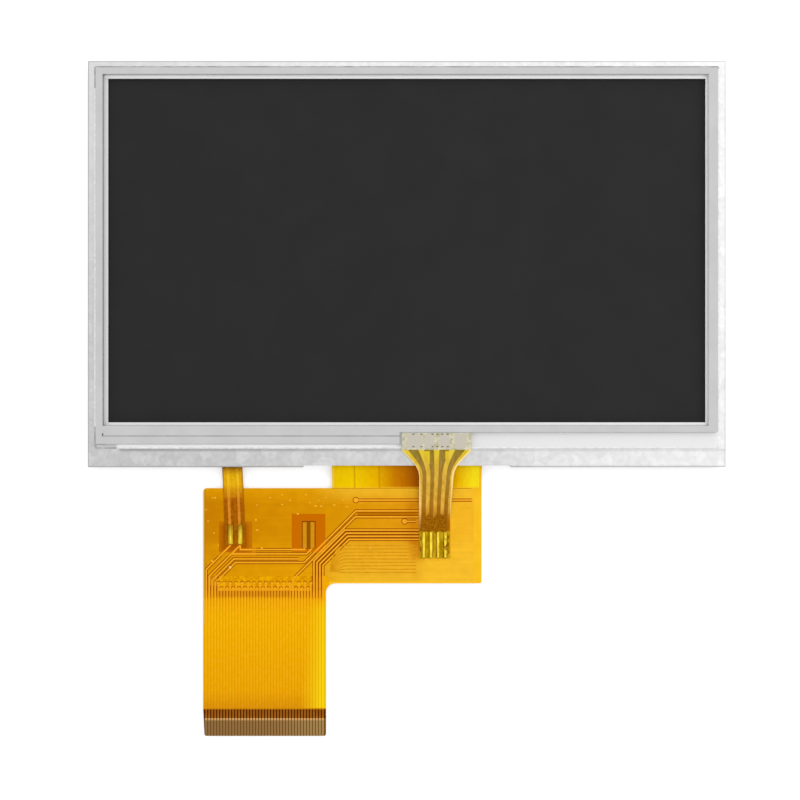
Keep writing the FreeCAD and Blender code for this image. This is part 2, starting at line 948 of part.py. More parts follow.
def disc(x, y, radius):
    """A round via pad, small enough that twelve sides look round."""
    turns = [math.radians(30 * index + 15) for index in range(12)]
    return on_circuit([(x + radius * math.cos(turn), y + radius * math.sin(turn)) for turn in turns])


def on_circuit(points):
    return prism(points, z_copper, z_on_copper)


def spare_pad_x():
    return body_left + spare_pad_from_left


def pad_pair(middle_x, pitch, width, y_low, y_high):
    """Two copper pads side by side."""
    pads = []
    for side in (-1, 1):
        x = middle_x + side * pitch / 2
        pads.append(sheet((x - width / 2, x + width / 2, y_low, y_high), z_copper, copper_thickness))
    return pads


def spare_pads():
    half = spare_pad_length / 2
    middle = row(spare_pad_drop)
    return pad_pair(spare_pad_x(), spare_pad_pitch, spare_pad_width, middle - half, middle + half)


def backlight_pads():
    return pad_pair(
        backlight_end_x,
        backlight_pad_pitch,
        backlight_pad_width,
        backlight_tail_end,
        backlight_tail_end + backlight_pad_length,
    )


def pad_windows():
    """Openings in the ground plane around both pairs of pads."""
    half = spare_window_length / 2
    x = spare_pad_x()
    y = row(spare_pad_drop)
    around_spare = (x - half, x + half, y - half, y + half + spare_window_rise)
    half = backlight_tail_width / 2 + backlight_window_margin - trace_gap
    around_backlight = (
        backlight_end_x - half,
        backlight_end_x + half,
        backlight_tail_end - backlight_window_margin,
        backlight_tail_end + backlight_pad_length + backlight_window_margin / 2,
    )
    return [sheet(region, z_copper, copper_thickness) for region in (around_spare, around_backlight)]


def flex_traces():
    """All the front copper apart from the plane: lines that meet are one solid."""
    pieces = [on_circuit(stroke(points, trace_width))
              for points in routed_traces() + short_traces() + spare_traces()]
    pieces += [disc(x, y, end_via_radius) for x, y in (upper_via(), stub_via())]
    for index in via_contacts():
        x = contact_x(index)
        pieces.append(on_circuit(stroke([(x, via_row(index)), (x, contact_top)], tail_trace_width)))
        pieces.append(disc(x, via_row(index), via_radius))
    pieces += spare_pads() + backlight_pads()
    return together(pieces[0].fuse(pieces[1:]).removeSplitter().Solids)


def flex_ground_plane():
    """The plane on the body, with a slot around each trace, and the neck's copper above it."""
    top = body_top - trace_gap
    bottom = body_bottom + plane_bottom_margin
    left = body_left + plane_margin
    step_x = tail_right + plane_margin
    low = body_bottom + plane_margin
    step = [(step_x, low), (step_x, bottom)]
    plane = on_circuit([(left, top), (plane_right, top), (plane_right, low)] + step + [(left, bottom)])
    slot_width = trace_width + 2 * trace_gap
    slots = [on_circuit(stroke(points, slot_width))
             for points in routed_traces() + short_traces() + spare_traces()]
    slots += [disc(x, y, end_via_radius + trace_gap) for x, y in (upper_via(), stub_via())]
    return together(plane.cut(slots + pad_windows()).Solids + neck_copper())


def neck_copper():
    """Copper sheets over the neck and down to the body's plane, split by two gaps."""
    half = neck_width / 2 - plane_margin
    edges = [-half, neck_split_left, neck_split_right, half]
    strips = []
    route = neck_route()
    for low, high in zip(edges, edges[1:]):
        points = [
            (low + trace_gap, route[0]),
            (high - trace_gap, route[0]),
            (high - trace_gap, body_top),
            (low + trace_gap, body_top),
        ]
        strips.append(
            formed_film(route, points, flex_thickness, flex_thickness + copper_thickness)
        )
    return strips


def contact_fingers():
    fingers = []
    end = on_circuit(tail_outline(contact_top))
    for index in range(contact_count):
        x = contact_x(index)
        finger = sheet(
            (x - contact_width / 2, x + contact_width / 2, tail_end, contact_top),
            z_copper,
            copper_thickness,
        )
        fingers += finger.common(end).Solids
    return together(fingers)


def contact_stiffener():
    z_low = flex_underside - stiffener_thickness
    return prism(tail_outline(tail_end + stiffener_length), z_low, flex_underside)


def backlight_strip_bottom():
    return frame_opening()[2] + film_clearance


def backlight_route():
    return (
        backlight_strip_bottom(),
        -half_width - backlight_bend_gap,
        body_top - backlight_flat_gap,
        backlight_tail_end,
        z_led_top,
        z_on_copper,
    )


def leaning_strip(shift, width, y_start):
    """XY outline of a strip that leans with the backlight's tail, beside its middle line."""
    bend_y = backlight_route()[1]
    end = (backlight_end_x, backlight_tail_end)
    stations = [(backlight_exit_x, y_start), (backlight_exit_x, bend_y), end]
    left = [(x + shift - width / 2, y) for x, y in stations]
    right = [(x + shift + width / 2, y) for x, y in stations]
    return left + right[::-1]


def backlight_flex():
    x_low, x_high, y_high, _ = light_guide_region(backlight_strip_inset)
    strip = sheet(
        (x_low, x_high, backlight_strip_bottom(), y_high - led_gap),
        z_led_top,
        backlight_film_thickness,
    )
    outline_points = leaning_strip(0, backlight_tail_width, backlight_strip_bottom())
    tail = formed_film(backlight_route(), outline_points, 0, backlight_film_thickness)
    return strip.fuse(tail).removeSplitter()


def backlight_flex_traces():
    traces = []
    top = backlight_film_thickness + copper_thickness
    for side in (-1, 1):
        points = leaning_strip(side * backlight_pad_pitch / 2, backlight_trace_width, -half_width)
        traces.append(formed_film(backlight_route(), points, backlight_film_thickness, top))
    return together(traces)


def backlight_solder_joints():
    z_low = z_on_copper + backlight_film_thickness + copper_thickness
    beads = []
    for side in (-1, 1):
        x = backlight_end_x + side * backlight_pad_pitch / 2
        y_low = backlight_tail_end + trace_gap
        beads.append(solder_bead(x, y_low, y_low + backlight_pad_length, backlight_pad_width, z_low))
    return together(beads)


def capacitor(x, y):
    """Ceramic body with a metal cap at each end, slightly thicker than the body."""
    z_low = flex_underside - capacitor_height
    half = capacitor_length / 2
    side = capacitor_width / 2
    step = capacitor_cap_step
    body = block(x - half, x + half, y - side + step, y + side - step, z_low + step, flex_underside - step)
    left = block(x - half, x - half + capacitor_end_cap, y - side, y + side, z_low, flex_underside)
    right = block(x + half - capacitor_end_cap, x + half, y - side, y + side, z_low, flex_underside)
    return body.fuse([left, right]).removeSplitter()


def flex_capacitors():
    return together(
        [capacitor(body_left + place, row(drop)) for drop in capacitor_drops for place in capacitor_places]
    )


def main():
    save("rear_chassis", rear_chassis())
    save("mould_frame", mould_frame())
    save("reflector_sheet", reflector_sheet())
    save("light_guide_plate", light_guide_plate())
    save("diffuser_film", backlight_film(z_diffuser, diffuser_thickness))
    save("prism_film_lower", backlight_film(z_prism_lower, prism_thickness))
    save("prism_film_upper", backlight_film(z_prism_upper, prism_thickness))
    save("rim_tape", rim_tape())
    save("backlight_leds", backlight_leds())
    save("backlight_flex", backlight_flex())
    save("backlight_flex_traces", backlight_flex_traces())
    save("backlight_solder_joints", backlight_solder_joints())
    save("lower_polarizer",
         sheet(even_margin(lower_polarizer_margin), z_lower_polarizer, lower_polarizer_thickness))
    save("tft_glass", sheet(glass_region(), z_tft_glass, cell_glass_thickness))
    save("colour_filter_glass", colour_filter_glass())
    save("upper_polarizer",
         sheet(even_margin(upper_polarizer_margin), z_upper_polarizer, upper_polarizer_thickness))
    save("driver_chip", driver_chip())
    save("cushion_gasket",
         ring(even_margin(gasket_margin + gasket_width), even_margin(gasket_margin),
              z_gasket, gasket_thickness))
    save("front_bezel", front_bezel())
    save("display_flex", display_flex())
    save("flex_ground_plane", flex_ground_plane())
    save("flex_traces", flex_traces())
    save("contact_fingers", contact_fingers())
    save("contact_stiffener", contact_stiffener())
    save("flex_capacitors", flex_capacitors())
    save("touch_mounting_tape", touch_mounting_tape())
    save("touch_glass", sheet(touch_region(), z_touch_glass, touch_glass_thickness))
    save("touch_spacer_adhesive", touch_spacer_adhesive())
    save("touch_bus_bars", together(bus_bars()))
    save("touch_film", sheet(grown(touch_region(), -film_inset), z_touch_film, touch_film_thickness))
    save("touch_flex", touch_flex())
    save("touch_flex_traces", touch_flex_traces())
    save("touch_solder_joints", touch_solder_joints())


main()
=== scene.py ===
import math

import bmesh
import bpy
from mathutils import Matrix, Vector


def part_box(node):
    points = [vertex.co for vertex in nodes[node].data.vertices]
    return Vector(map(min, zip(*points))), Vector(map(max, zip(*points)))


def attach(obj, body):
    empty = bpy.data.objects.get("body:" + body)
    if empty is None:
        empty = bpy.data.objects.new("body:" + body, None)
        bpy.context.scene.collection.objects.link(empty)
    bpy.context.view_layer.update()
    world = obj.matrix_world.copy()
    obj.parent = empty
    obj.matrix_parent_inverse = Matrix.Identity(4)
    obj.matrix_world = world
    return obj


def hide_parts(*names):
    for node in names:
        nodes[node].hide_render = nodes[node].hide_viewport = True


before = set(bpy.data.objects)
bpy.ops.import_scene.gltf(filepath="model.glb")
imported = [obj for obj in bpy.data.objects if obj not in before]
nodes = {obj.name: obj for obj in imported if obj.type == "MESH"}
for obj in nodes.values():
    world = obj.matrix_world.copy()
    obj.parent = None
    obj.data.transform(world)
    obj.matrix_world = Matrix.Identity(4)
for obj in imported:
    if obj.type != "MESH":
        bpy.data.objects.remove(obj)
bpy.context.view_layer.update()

# A colour display module on its back: metres, +Z out of the touch face, flexible circuit towards -Y
MM = 0.001

# Places on the module, in millimetres
UNDER_GLASS = (-51.4, 51.4, -30.45, 32.45)
BODY_LEFT = -34.0
BODY_TOP = -37.2
BODY_BOTTOM = -53.1
PLANE_RIGHT = 11.15
VIA_FIELD = (-31.35, -15.9, -54.35, -51.9)
TAIL_END = -78.6
TAIL_MIDDLE = -23.75
CONTACT_COUNT = 40
CONTACT_PITCH = 0.5
TOUCH_TAIL_MIDDLE = 4.8

# How far the backlight tail leans, and the wedge of painted light on the main tail, in radians
TAIL_LEAN = 0.0388
LIGHT_WEDGE_LEAN = 0.088


# Colours and node trees

def linear(colour):
    """An sRGB hex colour as linear red, green, blue and a full alpha."""
    channels = [int(colour[place:place + 2], 16) / 255 for place in (1, 3, 5)]
    bright = [((value + 0.055) / 1.055) ** 2.4 if value > 0.04045 else value / 12.92 for value in channels]
    return (*bright, 1.0)


def per_mm(size):
    """The texture scale that repeats about once in a size given in millimetres."""
    return 1 / (size * MM)


def add(tree, kind, inputs=None, **settings):
    """Add a node. Settings are its own, inputs are values for its sockets or the sockets that feed them."""
    node = tree.nodes.new(kind)
    for name, value in settings.items():
        if name == "stops":
            ramp = node.color_ramp
            while len(ramp.elements) < len(value):
                ramp.elements.new(1.0)
            for element, (place, colour) in zip(ramp.elements, value):
                element.position = place
                element.color = linear(colour) if isinstance(colour, str) else (colour, colour, colour, 1.0)
        else:
            setattr(node, name, value)
    for name, value in (inputs or {}).items():
        if isinstance(value, bpy.types.NodeSocket):
            tree.links.new(value, node.inputs[name])
        else:
            node.inputs[name].default_value = value
    return node


def new_material(name, shader):
    """A material with one shader, whose values are the same all over it."""
    material = bpy.data.materials.new(name)
    material.use_nodes = True
    tree = material.node_tree
    surface = tree.nodes["Principled BSDF"]
    for socket, value in shader.items():
        surface.inputs[socket].default_value = value
    place = add(tree, "ShaderNodeTexCoord").outputs["Object"]
    return material, tree, surface, place


def mottled(tree, place, size, dark, light, detail=2.0, stretch=(1, 1, 1), low=0.35, high=0.65):
    """A colour that wanders between two tones in patches of about a size in millimetres."""
    stretched = add(tree, "ShaderNodeMapping", {"Vector": place, "Scale": stretch}).outputs["Vector"]
    noise = add(tree, "ShaderNodeTexNoise", {"Vector": stretched, "Scale": per_mm(size), "Detail": detail})
    tones = [(low, dark), (high, light)]
    return add(tree, "ShaderNodeValToRGB", {"Fac": noise.outputs["Fac"]}, stops=tones).outputs["Color"]


def rough_skin(tree, surface, place, size, depth):
    """A fine uneven skin: bumps of a size and a depth in millimetres."""
    grain = add(tree, "ShaderNodeTexNoise", {"Vector": place, "Scale": per_mm(size), "Detail": 3.0})
    bump = add(
        tree, "ShaderNodeBump", {"Height": grain.outputs["Fac"], "Distance": depth * MM, "Strength": 1.0}
    )
    tree.links.new(bump.outputs["Normal"], surface.inputs["Normal"])


def along(tree, place, axis, stops, wander=0.0):
    """Colours or levels along one axis of the object, at places in millimetres.

    With wander, the places stray by that much from point to point.
    """
    start = stops[0][0]
    end = stops[-1][0]
    at = add(tree, "ShaderNodeSeparateXYZ", {"Vector": place}).outputs[axis]
    if wander:
        stray = add(tree, "ShaderNodeTexNoise", {"Vector": place, "Scale": per_mm(0.9), "Detail": 2.0})
        shift = add(
            tree, "ShaderNodeMapRange",
            {"Value": stray.outputs["Fac"], "To Min": -wander * MM, "To Max": wander * MM},
        )
        moved = add(tree, "ShaderNodeMath", {0: at, 1: shift.outputs["Result"]}, operation="ADD")
        at = moved.outputs["Value"]
    reach = add(tree, "ShaderNodeMapRange", {"Value": at, "From Min": start * MM, "From Max": end * MM})
    spread = [((spot - start) / (end - start), colour) for spot, colour in stops]
    return add(tree, "ShaderNodeValToRGB", {"Fac": reach.outputs["Result"]}, stops=spread).outputs["Color"]


def product(tree, first, *others):
    """Levels multiplied with each other: the share of the surface where all of them hold."""
    for other in others:
        first = add(tree, "ShaderNodeMath", {0: first, 1: other}, operation="MULTIPLY").outputs["Value"]
    return first


def inside(tree, place, x_low, x_high, y_low, y_high, edge=0.05):
    """1 within a rectangle of the object's plan, given in millimetres, and 0 outside it."""
    shares = []
    for axis, low, high in (("X", x_low, x_high), ("Y", y_low, y_high)):
        stops = [(low - edge, 0.0), (low, 1.0), (high, 1.0), (high + edge, 0.0)]
        shares.append(along(tree, place, axis, stops))
    return product(tree, *shares)


def layered(tree, base, *layers, blend_type="MIX"):
    """Colours laid over a base one after another. A layer is its share and its colour."""
    for share, colour in layers:
        over = linear(colour) if isinstance(colour, str) else colour
        inputs = {0: share, 6: base, 7: over}
        base = add(tree, "ShaderNodeMix", inputs, data_type="RGBA", blend_type=blend_type).outputs[2]
    return base


def patches(tree, place, *rows):
    """Layers for rectangles of the plan. A row is low X, high X, low Y, high Y, edge, share and colour."""
    layers = []
    for *box, edge, share, colour in rows:
        layers.append((product(tree, inside(tree, place, *box, edge), share), colour))
    return layers


def facing_up(tree):
    """How far the surface looks upwards: 1 on a level top, 0 on a side and -1 on the back."""
    normal = add(tree, "ShaderNodeTexCoord").outputs["Normal"]
    return add(tree, "ShaderNodeSeparateXYZ", {"Vector": normal}).outputs["Z"]


def paint(tree, surface, colour):
    """Give the surface its colour."""
    tree.links.new(colour, surface.inputs["Base Color"])


def plain_material(name, dark, light, patch, skin, depth, shader):
    """A material with patches between two tones and one fine skin. Sizes are in millimetres."""
    material, tree, surface, place = new_material(name, shader)
    paint(tree, surface, mottled(tree, place, patch, dark, light))
    rough_skin(tree, surface, place, size=skin, depth=depth)
    return material


# Steel, glass and frames of the module

def stainless_bezel():
    # Cold-rolled and tin-plated stainless steel: pale grey with soft crystal patches a millimetre or two
    # wide, with painted light to the top left and the right, painted shade along its folds and a painted
    # shadow line under the glass's lower edge. Under the glass it shows as a smooth pale rim, with painted
    # light to the right, along the strip at the bottom and in a line near the top, against the shade there.
    material, tree, surface, place = new_material("tinned_stainless_steel", {"Roughness": 0.34})
    wobble = add(tree, "ShaderNodeTexNoise", {"Vector": place, "Scale": per_mm(2.0), "Detail": 2.0})
    reach = (1.2 * MM,) * 3
    moved = add(tree, "ShaderNodeVectorMath", {0: wobble.outputs["Color"], 1: reach}, operation="MULTIPLY")
    shifted = add(tree, "ShaderNodeVectorMath", {0: place, 1: moved.outputs["Vector"]}, operation="ADD")
    crystals = add(tree, "ShaderNodeTexVoronoi", {"Vector": shifted.outputs["Vector"], "Scale": per_mm(1.9)})
    tone = add(tree, "ShaderNodeSeparateColor", {"Color": crystals.outputs["Color"]}).outputs["Red"]
    tones = [(0.0, "#B5B5B5"), (0.6, "#BFBFBF"), (1.0, "#CECECE")]
    facets = add(tree, "ShaderNodeValToRGB", {"Fac": tone}, stops=tones).outputs["Color"]
    cloud = mottled(tree, place, 0.9, "#B7B7B7", "#CDCDCD", detail=4.0)
    # Painted light: the steel lighter to the top left
    pale = product(
        tree,
        along(tree, place, "X", [(-52.0, 0.6), (-20.0, 0.38), (25.0, 0.0)]),
        along(tree, place, "Y", [(-34.0, 0.1), (0.0, 0.6), (33.0, 1.0)]),
    )
    # Painted light: the steel lighter towards the right
    bright = along(tree, place, "X", [(10.0, 0.0), (45.0, 0.2)])
    # Painted shade: darker where the folds turn away from the top
    painted_fold_shade = add(
        tree, "ShaderNodeValToRGB", {"Fac": facing_up(tree)},
        stops=[(0.05, 0.1), (0.3, 1.0), (0.85, 1.0), (0.985, 0.0)],
    ).outputs["Color"]
    painted_fold_shade = product(tree, painted_fold_shade, along(tree, place, "X", [(-52.0, 0.6), (20.0, 0.4), (50.0, 0.0)]))
    # Painted shadow: a wandering line under the glass's lower edge
    line = product(
        tree,
        along(tree, place, "Y", [(-31.05, 0.0), (-30.8, 1.0), (-30.6, 1.0), (-30.5, 0.0)], wander=0.1),
        along(tree, place, "X", [(-47.6, 0.0), (-47.2, 0.5), (-10.0, 0.4), (8.0, 0.25)]),
    )
    steel = layered(
        tree, facets,
        (0.5, cloud), (pale, "#DADADA"), (bright, "#D8D8D8"), (painted_fold_shade, "#868686"), (line, "#727272"),
    )
    # Under the glass, painted light: the rim lighter to the right, and the strip along the bottom and a line
    # near the top painted white against the shade there
    rim = along(
        tree, place, "X", [(-49.8, "#D8D8D8"), (-49.0, "#E8E8E8"), (49.0, "#E8E8E8"), (49.5, "#FFFFFF")]
    )
    strip = along(
        tree, place, "X", [(-48.1, "#D2D2D2"), (-47.7, "#FFFFFF"), (-4.0, "#FFFFFF"), (9.0, "#DFDFDF")]
    )
    painted_light_under_glass = layered(
        tree, rim,
        (along(tree, place, "Y", [(-27.7, 1.0), (-27.4, 0.0)]), strip),
        (inside(tree, place, -51.4, 51.4, 30.8, 31.4), "#FFFFFF"),
    )
    under_glass = inside(tree, place, *UNDER_GLASS)
    paint(tree, surface, layered(tree, steel, (under_glass, painted_light_under_glass)))
    metal = add(tree, "ShaderNodeMapRange", {"Value": under_glass, "To Min": 0.85, "To Max": 0.1})
    tree.links.new(metal.outputs["Result"], surface.inputs["Metallic"])
    rough_skin(tree, surface, place, size=0.35, depth=0.004)
    return material


def chassis_steel():
    # Zinc-coated steel sheet: duller and bluer, with the coil's rolling lines along its length
    material, tree, surface, place = new_material("zinc_coated_steel", {"Metallic": 0.9, "Roughness": 0.48})
    spangle = mottled(tree, place, 2.4, "#B4B7BA", "#CCCECF", detail=3.0)
    lines = mottled(tree, place, 0.5, "#B9BBBE", "#CDCFD1", stretch=(0.02, 1, 1))
    paint(tree, surface, layered(tree, spangle, (0.45, lines)))
    rough_skin(tree, surface, place, size=0.3, depth=0.004)
    return material


def front_polarizer():
    # Anti-glare polarizer over an unlit cell: near black and even, with a fine matt coat
    shader = {"Roughness": 0.62, "Specular IOR Level": 0.12}
    material, tree, surface, place = new_material("matt_polarizer", shader)
    paint(tree, surface, mottled(tree, place, 6.0, "#232323", "#252525"))
    rough_skin(tree, surface, place, size=0.06, depth=0.0006)
    return material


def clear_sheet(name, tint, skin):
    """A clear sheet: it shows what lies under it, and takes a gloss only where it is seen aslant."""
    material, tree, surface, place = new_material(name, {"Roughness": 0.06, "Metallic": 1.0})
    paint(tree, surface, mottled(tree, place, 9.0, tint, "#FFFFFF"))
    rough_skin(tree, surface, place, size=skin, depth=0.0004)
    slant = add(tree, "ShaderNodeLayerWeight", {"Blend": 0.5}).outputs["Facing"]
    gloss = add(tree, "ShaderNodeMath", {0: slant, 1: 5.0}, operation="POWER").outputs["Value"]
    inner = add(tree, "ShaderNodeNewGeometry").outputs["Backfacing"]
    cover = add(tree, "ShaderNodeMath", {0: gloss, 1: inner}, operation="SUBTRACT", use_clamp=True)
    tree.links.new(cover.outputs["Value"], surface.inputs["Alpha"])
    return material


def ground_glass_edge():
    # The glass's ground edge: painted white as lit, with painted shade at the top and two corners
    material, tree, surface, place = new_material("ground_glass_edge", {"Roughness": 0.4})
    # A lit and a shaded copy of the edge: painted light and painted shade
    bright = mottled(tree, place, 0.5, "#DCDCDC", "#F6F6F6", detail=3.0)
    shade = mottled(tree, place, 1.6, "#8E8E8E", "#BCBCBC", detail=3.0)
    shaded = (
        (-52.0, 52.0, 32.1, 33.0), (-52.0, -50.9, 28.9, 33.0), (-52.0, -50.9, -31.0, -26.9),
        (-52.0, -47.8, -31.0, -30.2),
    )
    paint(tree, surface, layered(tree, bright, *[(inside(tree, place, *box), shade) for box in shaded]))
    rough_skin(tree, surface, place, size=0.05, depth=0.003)
    return material


def mounting_tape():
    # Grey foam tape between glass and bezel, seen only as a line beside the lighter frame above it,
    # with painted shade along the left side
    material, tree, surface, place = new_material("grey_foam_tape", {"Roughness": 0.85})
    foam = mottled(tree, place, 0.25, "#C6C6C6", "#D6D6D6", detail=3.0)
    # Painted shade along the left side
    left = along(tree, place, "X", [(-49.8, 1.0), (-49.6, 0.0)])
    paint(tree, surface, layered(tree, foam, (left, mottled(tree, place, 0.25, "#969696", "#A6A6A6"))))
    rough_skin(tree, surface, place, size=0.08, depth=0.003)
    return material


def pale_frame(name, skin):
    # Spacer tape and silver bars under the film: one even light grey, with a spot of painted shade at the
    # seam's left end
    material, tree, surface, place = new_material(name, {"Roughness": 0.7, "Specular IOR Level": 0.2})
    grey = mottled(tree, place, 4.0, "#C3C3C3", "#C8C8C8")
    # Painted shade: a dark spot at the seam's left end
    painted_seam_end_shade = inside(tree, place, -50.1, -49.92, -28.45, -27.95)
    paint(tree, surface, layered(tree, grey, (painted_seam_end_shade, "#5C5C5C")))
    rough_skin(tree, surface, place, size=skin, depth=0.002)
    return material


# The flexible circuit: polyimide film with copper under an amber cover film

AMBER_GLOSS = {"Roughness": 0.34, "Specular IOR Level": 0.4, "Specular Tint": linear("#FFB000")}


def painted_light_wedge(tree, place):
    """Painted light: 1 along the tail's right edge, in a wedge where light falls through the film, and 0 away
    from it.
    """
    lean = (0, 0, LIGHT_WEDGE_LEAN)
    turned = add(tree, "ShaderNodeMapping", {"Vector": place, "Rotation": lean}).outputs["Vector"]
    return product(
        tree,
        along(tree, turned, "X", [(-11.4, 0.0), (-9.6, 0.45), (-8.0, 1.0)]),
        along(tree, place, "Y", [(-74.0, 0.0), (-73.9, 1.0), (-57.4, 1.0), (-55.4, 0.0)]),
    )


def polyimide_film():
    # Amber polyimide film: dark where it is bare between copper, lighter where the tail's back is covered,
    # yellow at its clear right margin, with painted light in the tail's bright wedge and a painted brown
    # shadow of the touch tail in the neck, and an even amber at its back
    material, tree, surface, place = new_material("polyimide_film", AMBER_GLOSS)
    levels = along(
        tree, place, "Y",
        [
            (TAIL_END, "#65420F"), (-75.7, "#65420F"), (-75.6, "#461200"), (-74.15, "#420E00"),
            (-74.05, "#D68A00"), (-71.0, "#E0A000"), (-58.0, "#E4AA00"), (-55.8, "#DA9A00"),
            (-55.3, "#B66C00"), (-54.4, "#AE6000"), (-54.2, "#A05600"), (-52.6, "#A05600"),
            (-51.6, "#883E00"), (-44.0, "#803800"), (BODY_TOP - 0.35, "#8A4000"),
            (BODY_TOP - 0.2, "#C98E0C"), (BODY_TOP, "#D09810"),
        ],
    )
    # In the neck: a painted brown shadow just left of the touch tail
    neck = along(
        tree, place, "X",
        [
            (-12.5, "#F4D050"), (-12.1, "#F0C42C"), (-8.8, "#DCA808"), (-4.6, "#D29A06"), (2.0, "#A86000"),
            (8.0, "#E0A800"), (11.0, "#FFDC10"),
        ],
    )
    corner = (-32.9, -31.75, -53.4, -51.8, 0.2, 1.0, "#C47C0C")
    windows = (
        (-19.2, -13.6, -47.85, -41.5, 0.05, 1.0, "#C66800"),
        (-32.0, -25.2, -48.5, -42.2, 0.05, 1.0, "#C07208"),
        (-30.6, -27.0, -47.3, -43.6, 0.9, 1.0, "#A85400"),
        (-17.3, -15.5, -47.3, -42.8, 0.05, 1.0, "#8C5000"),
    )
    rims = (
        (-33.7, -12.6, BODY_TOP - 0.16, -36.0, 0.05, 1.0, "#E8AE14"),
        (-35.0, BODY_LEFT + 0.2, -60.0, -36.0, 0.05, 1.0, "#DCB040"),
        (-13.9, 14.0, -54.0, -52.75, 0.05, 1.0, "#F8C020"),
        (-13.9, -13.0, -57.0, -51.9, 0.05, 1.0, "#F0A800"),
    )
    margin = along(tree, place, "X", [(PLANE_RIGHT - 0.3, 0.0), (PLANE_RIGHT - 0.2, 1.0)])
    front = layered(
        tree, levels,
        (inside(tree, place, *VIA_FIELD), mottled(tree, place, 0.5, "#D48C00", "#EEAC04")),
        (along(tree, place, "Y", [(BODY_TOP, 0.0), (BODY_TOP + 0.1, 1.0)]), neck),
        *patches(tree, place, corner, *windows, *rims),
        (margin, mottled(tree, place, 3.0, "#F4BA1E", "#FAC228")),
        # Painted light in the tail's bright wedge
        (painted_light_wedge(tree, place), "#E4C00E"),
    )
    back = along(
        tree, place, "Y",
        [
            (TAIL_END, "#E4A60A"), (-55.5, "#DE9E08"), (-54.5, "#CE880A"), (BODY_TOP, "#C8820A"),
            (-33.0, "#E0A818"),
        ],
    )
    back = layered(tree, back, (0.3, mottled(tree, place, 1.5, "#BC760A", "#E8A81C", detail=3.0)))
    top = add(tree, "ShaderNodeMapRange", {"Value": facing_up(tree), "From Min": 0.2, "From Max": 0.6})
    paint(tree, surface, layered(tree, back, (top.outputs["Result"], front)))
    rough_skin(tree, surface, place, size=0.4, depth=0.002)
    return material


def copper_plane():
    # Copper under amber cover film: warm amber, with painted shade to the left and painted light to the right
    # and towards the body's top and bottom, and faint rolling streaks along X. In the neck it runs from
    # yellow to a painted brown shadow beside the touch tail and back, and the body has a painted shadow of
    # the touch tail beside its pads and along its left side, and a thin darker band across.
    material, tree, surface, place = new_material("copper_under_film", AMBER_GLOSS)
    # Painted shade to the left and painted light to the right
    side = along(
        tree, place, "X",
        [
            (-34, "#CA8004"), (-26, "#D48A02"), (-12, "#DE9606"), (-4, "#E49A0E"), (1.5, "#E29814"),
            (4, "#F6B824"), (12.5, "#F8BA28"),
        ],
    )
    # Painted light: lighter towards the body's top and bottom
    lower = along(
        tree, place, "Y", [(BODY_BOTTOM, 0.6), (-47, 0.35), (-45, 0.0), (-40, 0.0), (BODY_TOP, 0.7)]
    )
    glow = along(tree, place, "X", [(-34, "#ECA404"), (-16, "#EEA80A"), (-10, "#FFCC34"), (12.5, "#FFC834")])
    streaks = mottled(tree, place, 0.5, "#DADADA", "#FFFFFF", detail=3.0, stretch=(0.05, 1, 1))
    clouds = mottled(tree, place, 1.6, "#E4E0D8", "#FFFFFF", detail=3.0)
    body = layered(tree, side, (lower, glow))
    body = layered(tree, body, (0.2, streaks), (0.3, clouds), blend_type="MULTIPLY")
    # Painted shadow of the touch tail beside its pads and along its left side, and a thin darker band
    painted_shadow_and_band = (
        (1.3, 2.2, -48.4, -45.4, 1.2, 0.5, "#B85800"), (-8.2, 1.8, -41.75, -41.15, 0.1, 0.9, "#B26600"),
        (0.8, 2.0, -46.0, -40.0, 1.6, 0.45, "#B46000"),
    )
    body = layered(tree, body, *patches(tree, place, *painted_shadow_and_band))
    # In the neck: a painted brown shadow beside the touch tail
    neck = along(
        tree, place, "X",
        [
            (-12.5, "#F0C800"), (-8.8, "#F8D000"), (-5, "#EEB600"), (-2, "#CE8000"), (1.5, "#B25A00"),
            (7, "#DA9E00"), (8.5, "#F8C204"), (11.0, "#FFE61C"),
        ],
    )
    threads = mottled(tree, place, 0.35, "#D8D0C0", "#FFFFFF", stretch=(1, 0.02, 1))
    neck = layered(tree, neck, (0.25, threads), blend_type="MULTIPLY")
    above = along(tree, place, "Y", [(BODY_TOP - 0.1, 0.0), (BODY_TOP + 0.35, 1.0)])
    paint(tree, surface, layered(tree, body, (above, neck)))
    rough_skin(tree, surface, place, size=0.5, depth=0.002)
    return material


def copper_traces():
    # Traces under the cover film: lighter than the plane, because they stand out and catch the light
    material, tree, surface, place = new_material("traces_under_film", AMBER_GLOSS)
    levels = along(
        tree, place, "Y",
        [
            (-76, "#965414"), (-74.2, "#843C10"), (-74.0, "#D89008"), (-71.0, "#F0A600"), (-60.0, "#FAB400"),
            (-56.3, "#FCB00A"), (-54.0, "#F4A41C"), (BODY_TOP, "#FCAA28"),
        ],
    )
    spare_pads = (-17.4, -15.4, -47.3, -42.8, 0.05, 1.0, "#CE8810")
    # Painted shadow of the touch tail along its left side
    painted_touch_tail_shadow = (0.8, 2.0, -46.0, -40.0, 1.8, 0.45, "#C87818")
    below_vias = (-31.6, -19.6, -55.2, -54.4, 0.3, 0.45, "#C87A10")
    levels = layered(
        tree, levels,
        *patches(tree, place, spare_pads, painted_touch_tail_shadow, below_vias),
        (0.12, mottled(tree, place, 0.8, "#D89010", "#FFC044")),
        # Painted light in the tail's bright wedge
        (painted_light_wedge(tree, place), "#FFD614"),
    )
    paint(tree, surface, levels)
    rough_skin(tree, surface, place, size=0.5, depth=0.001)
    return material


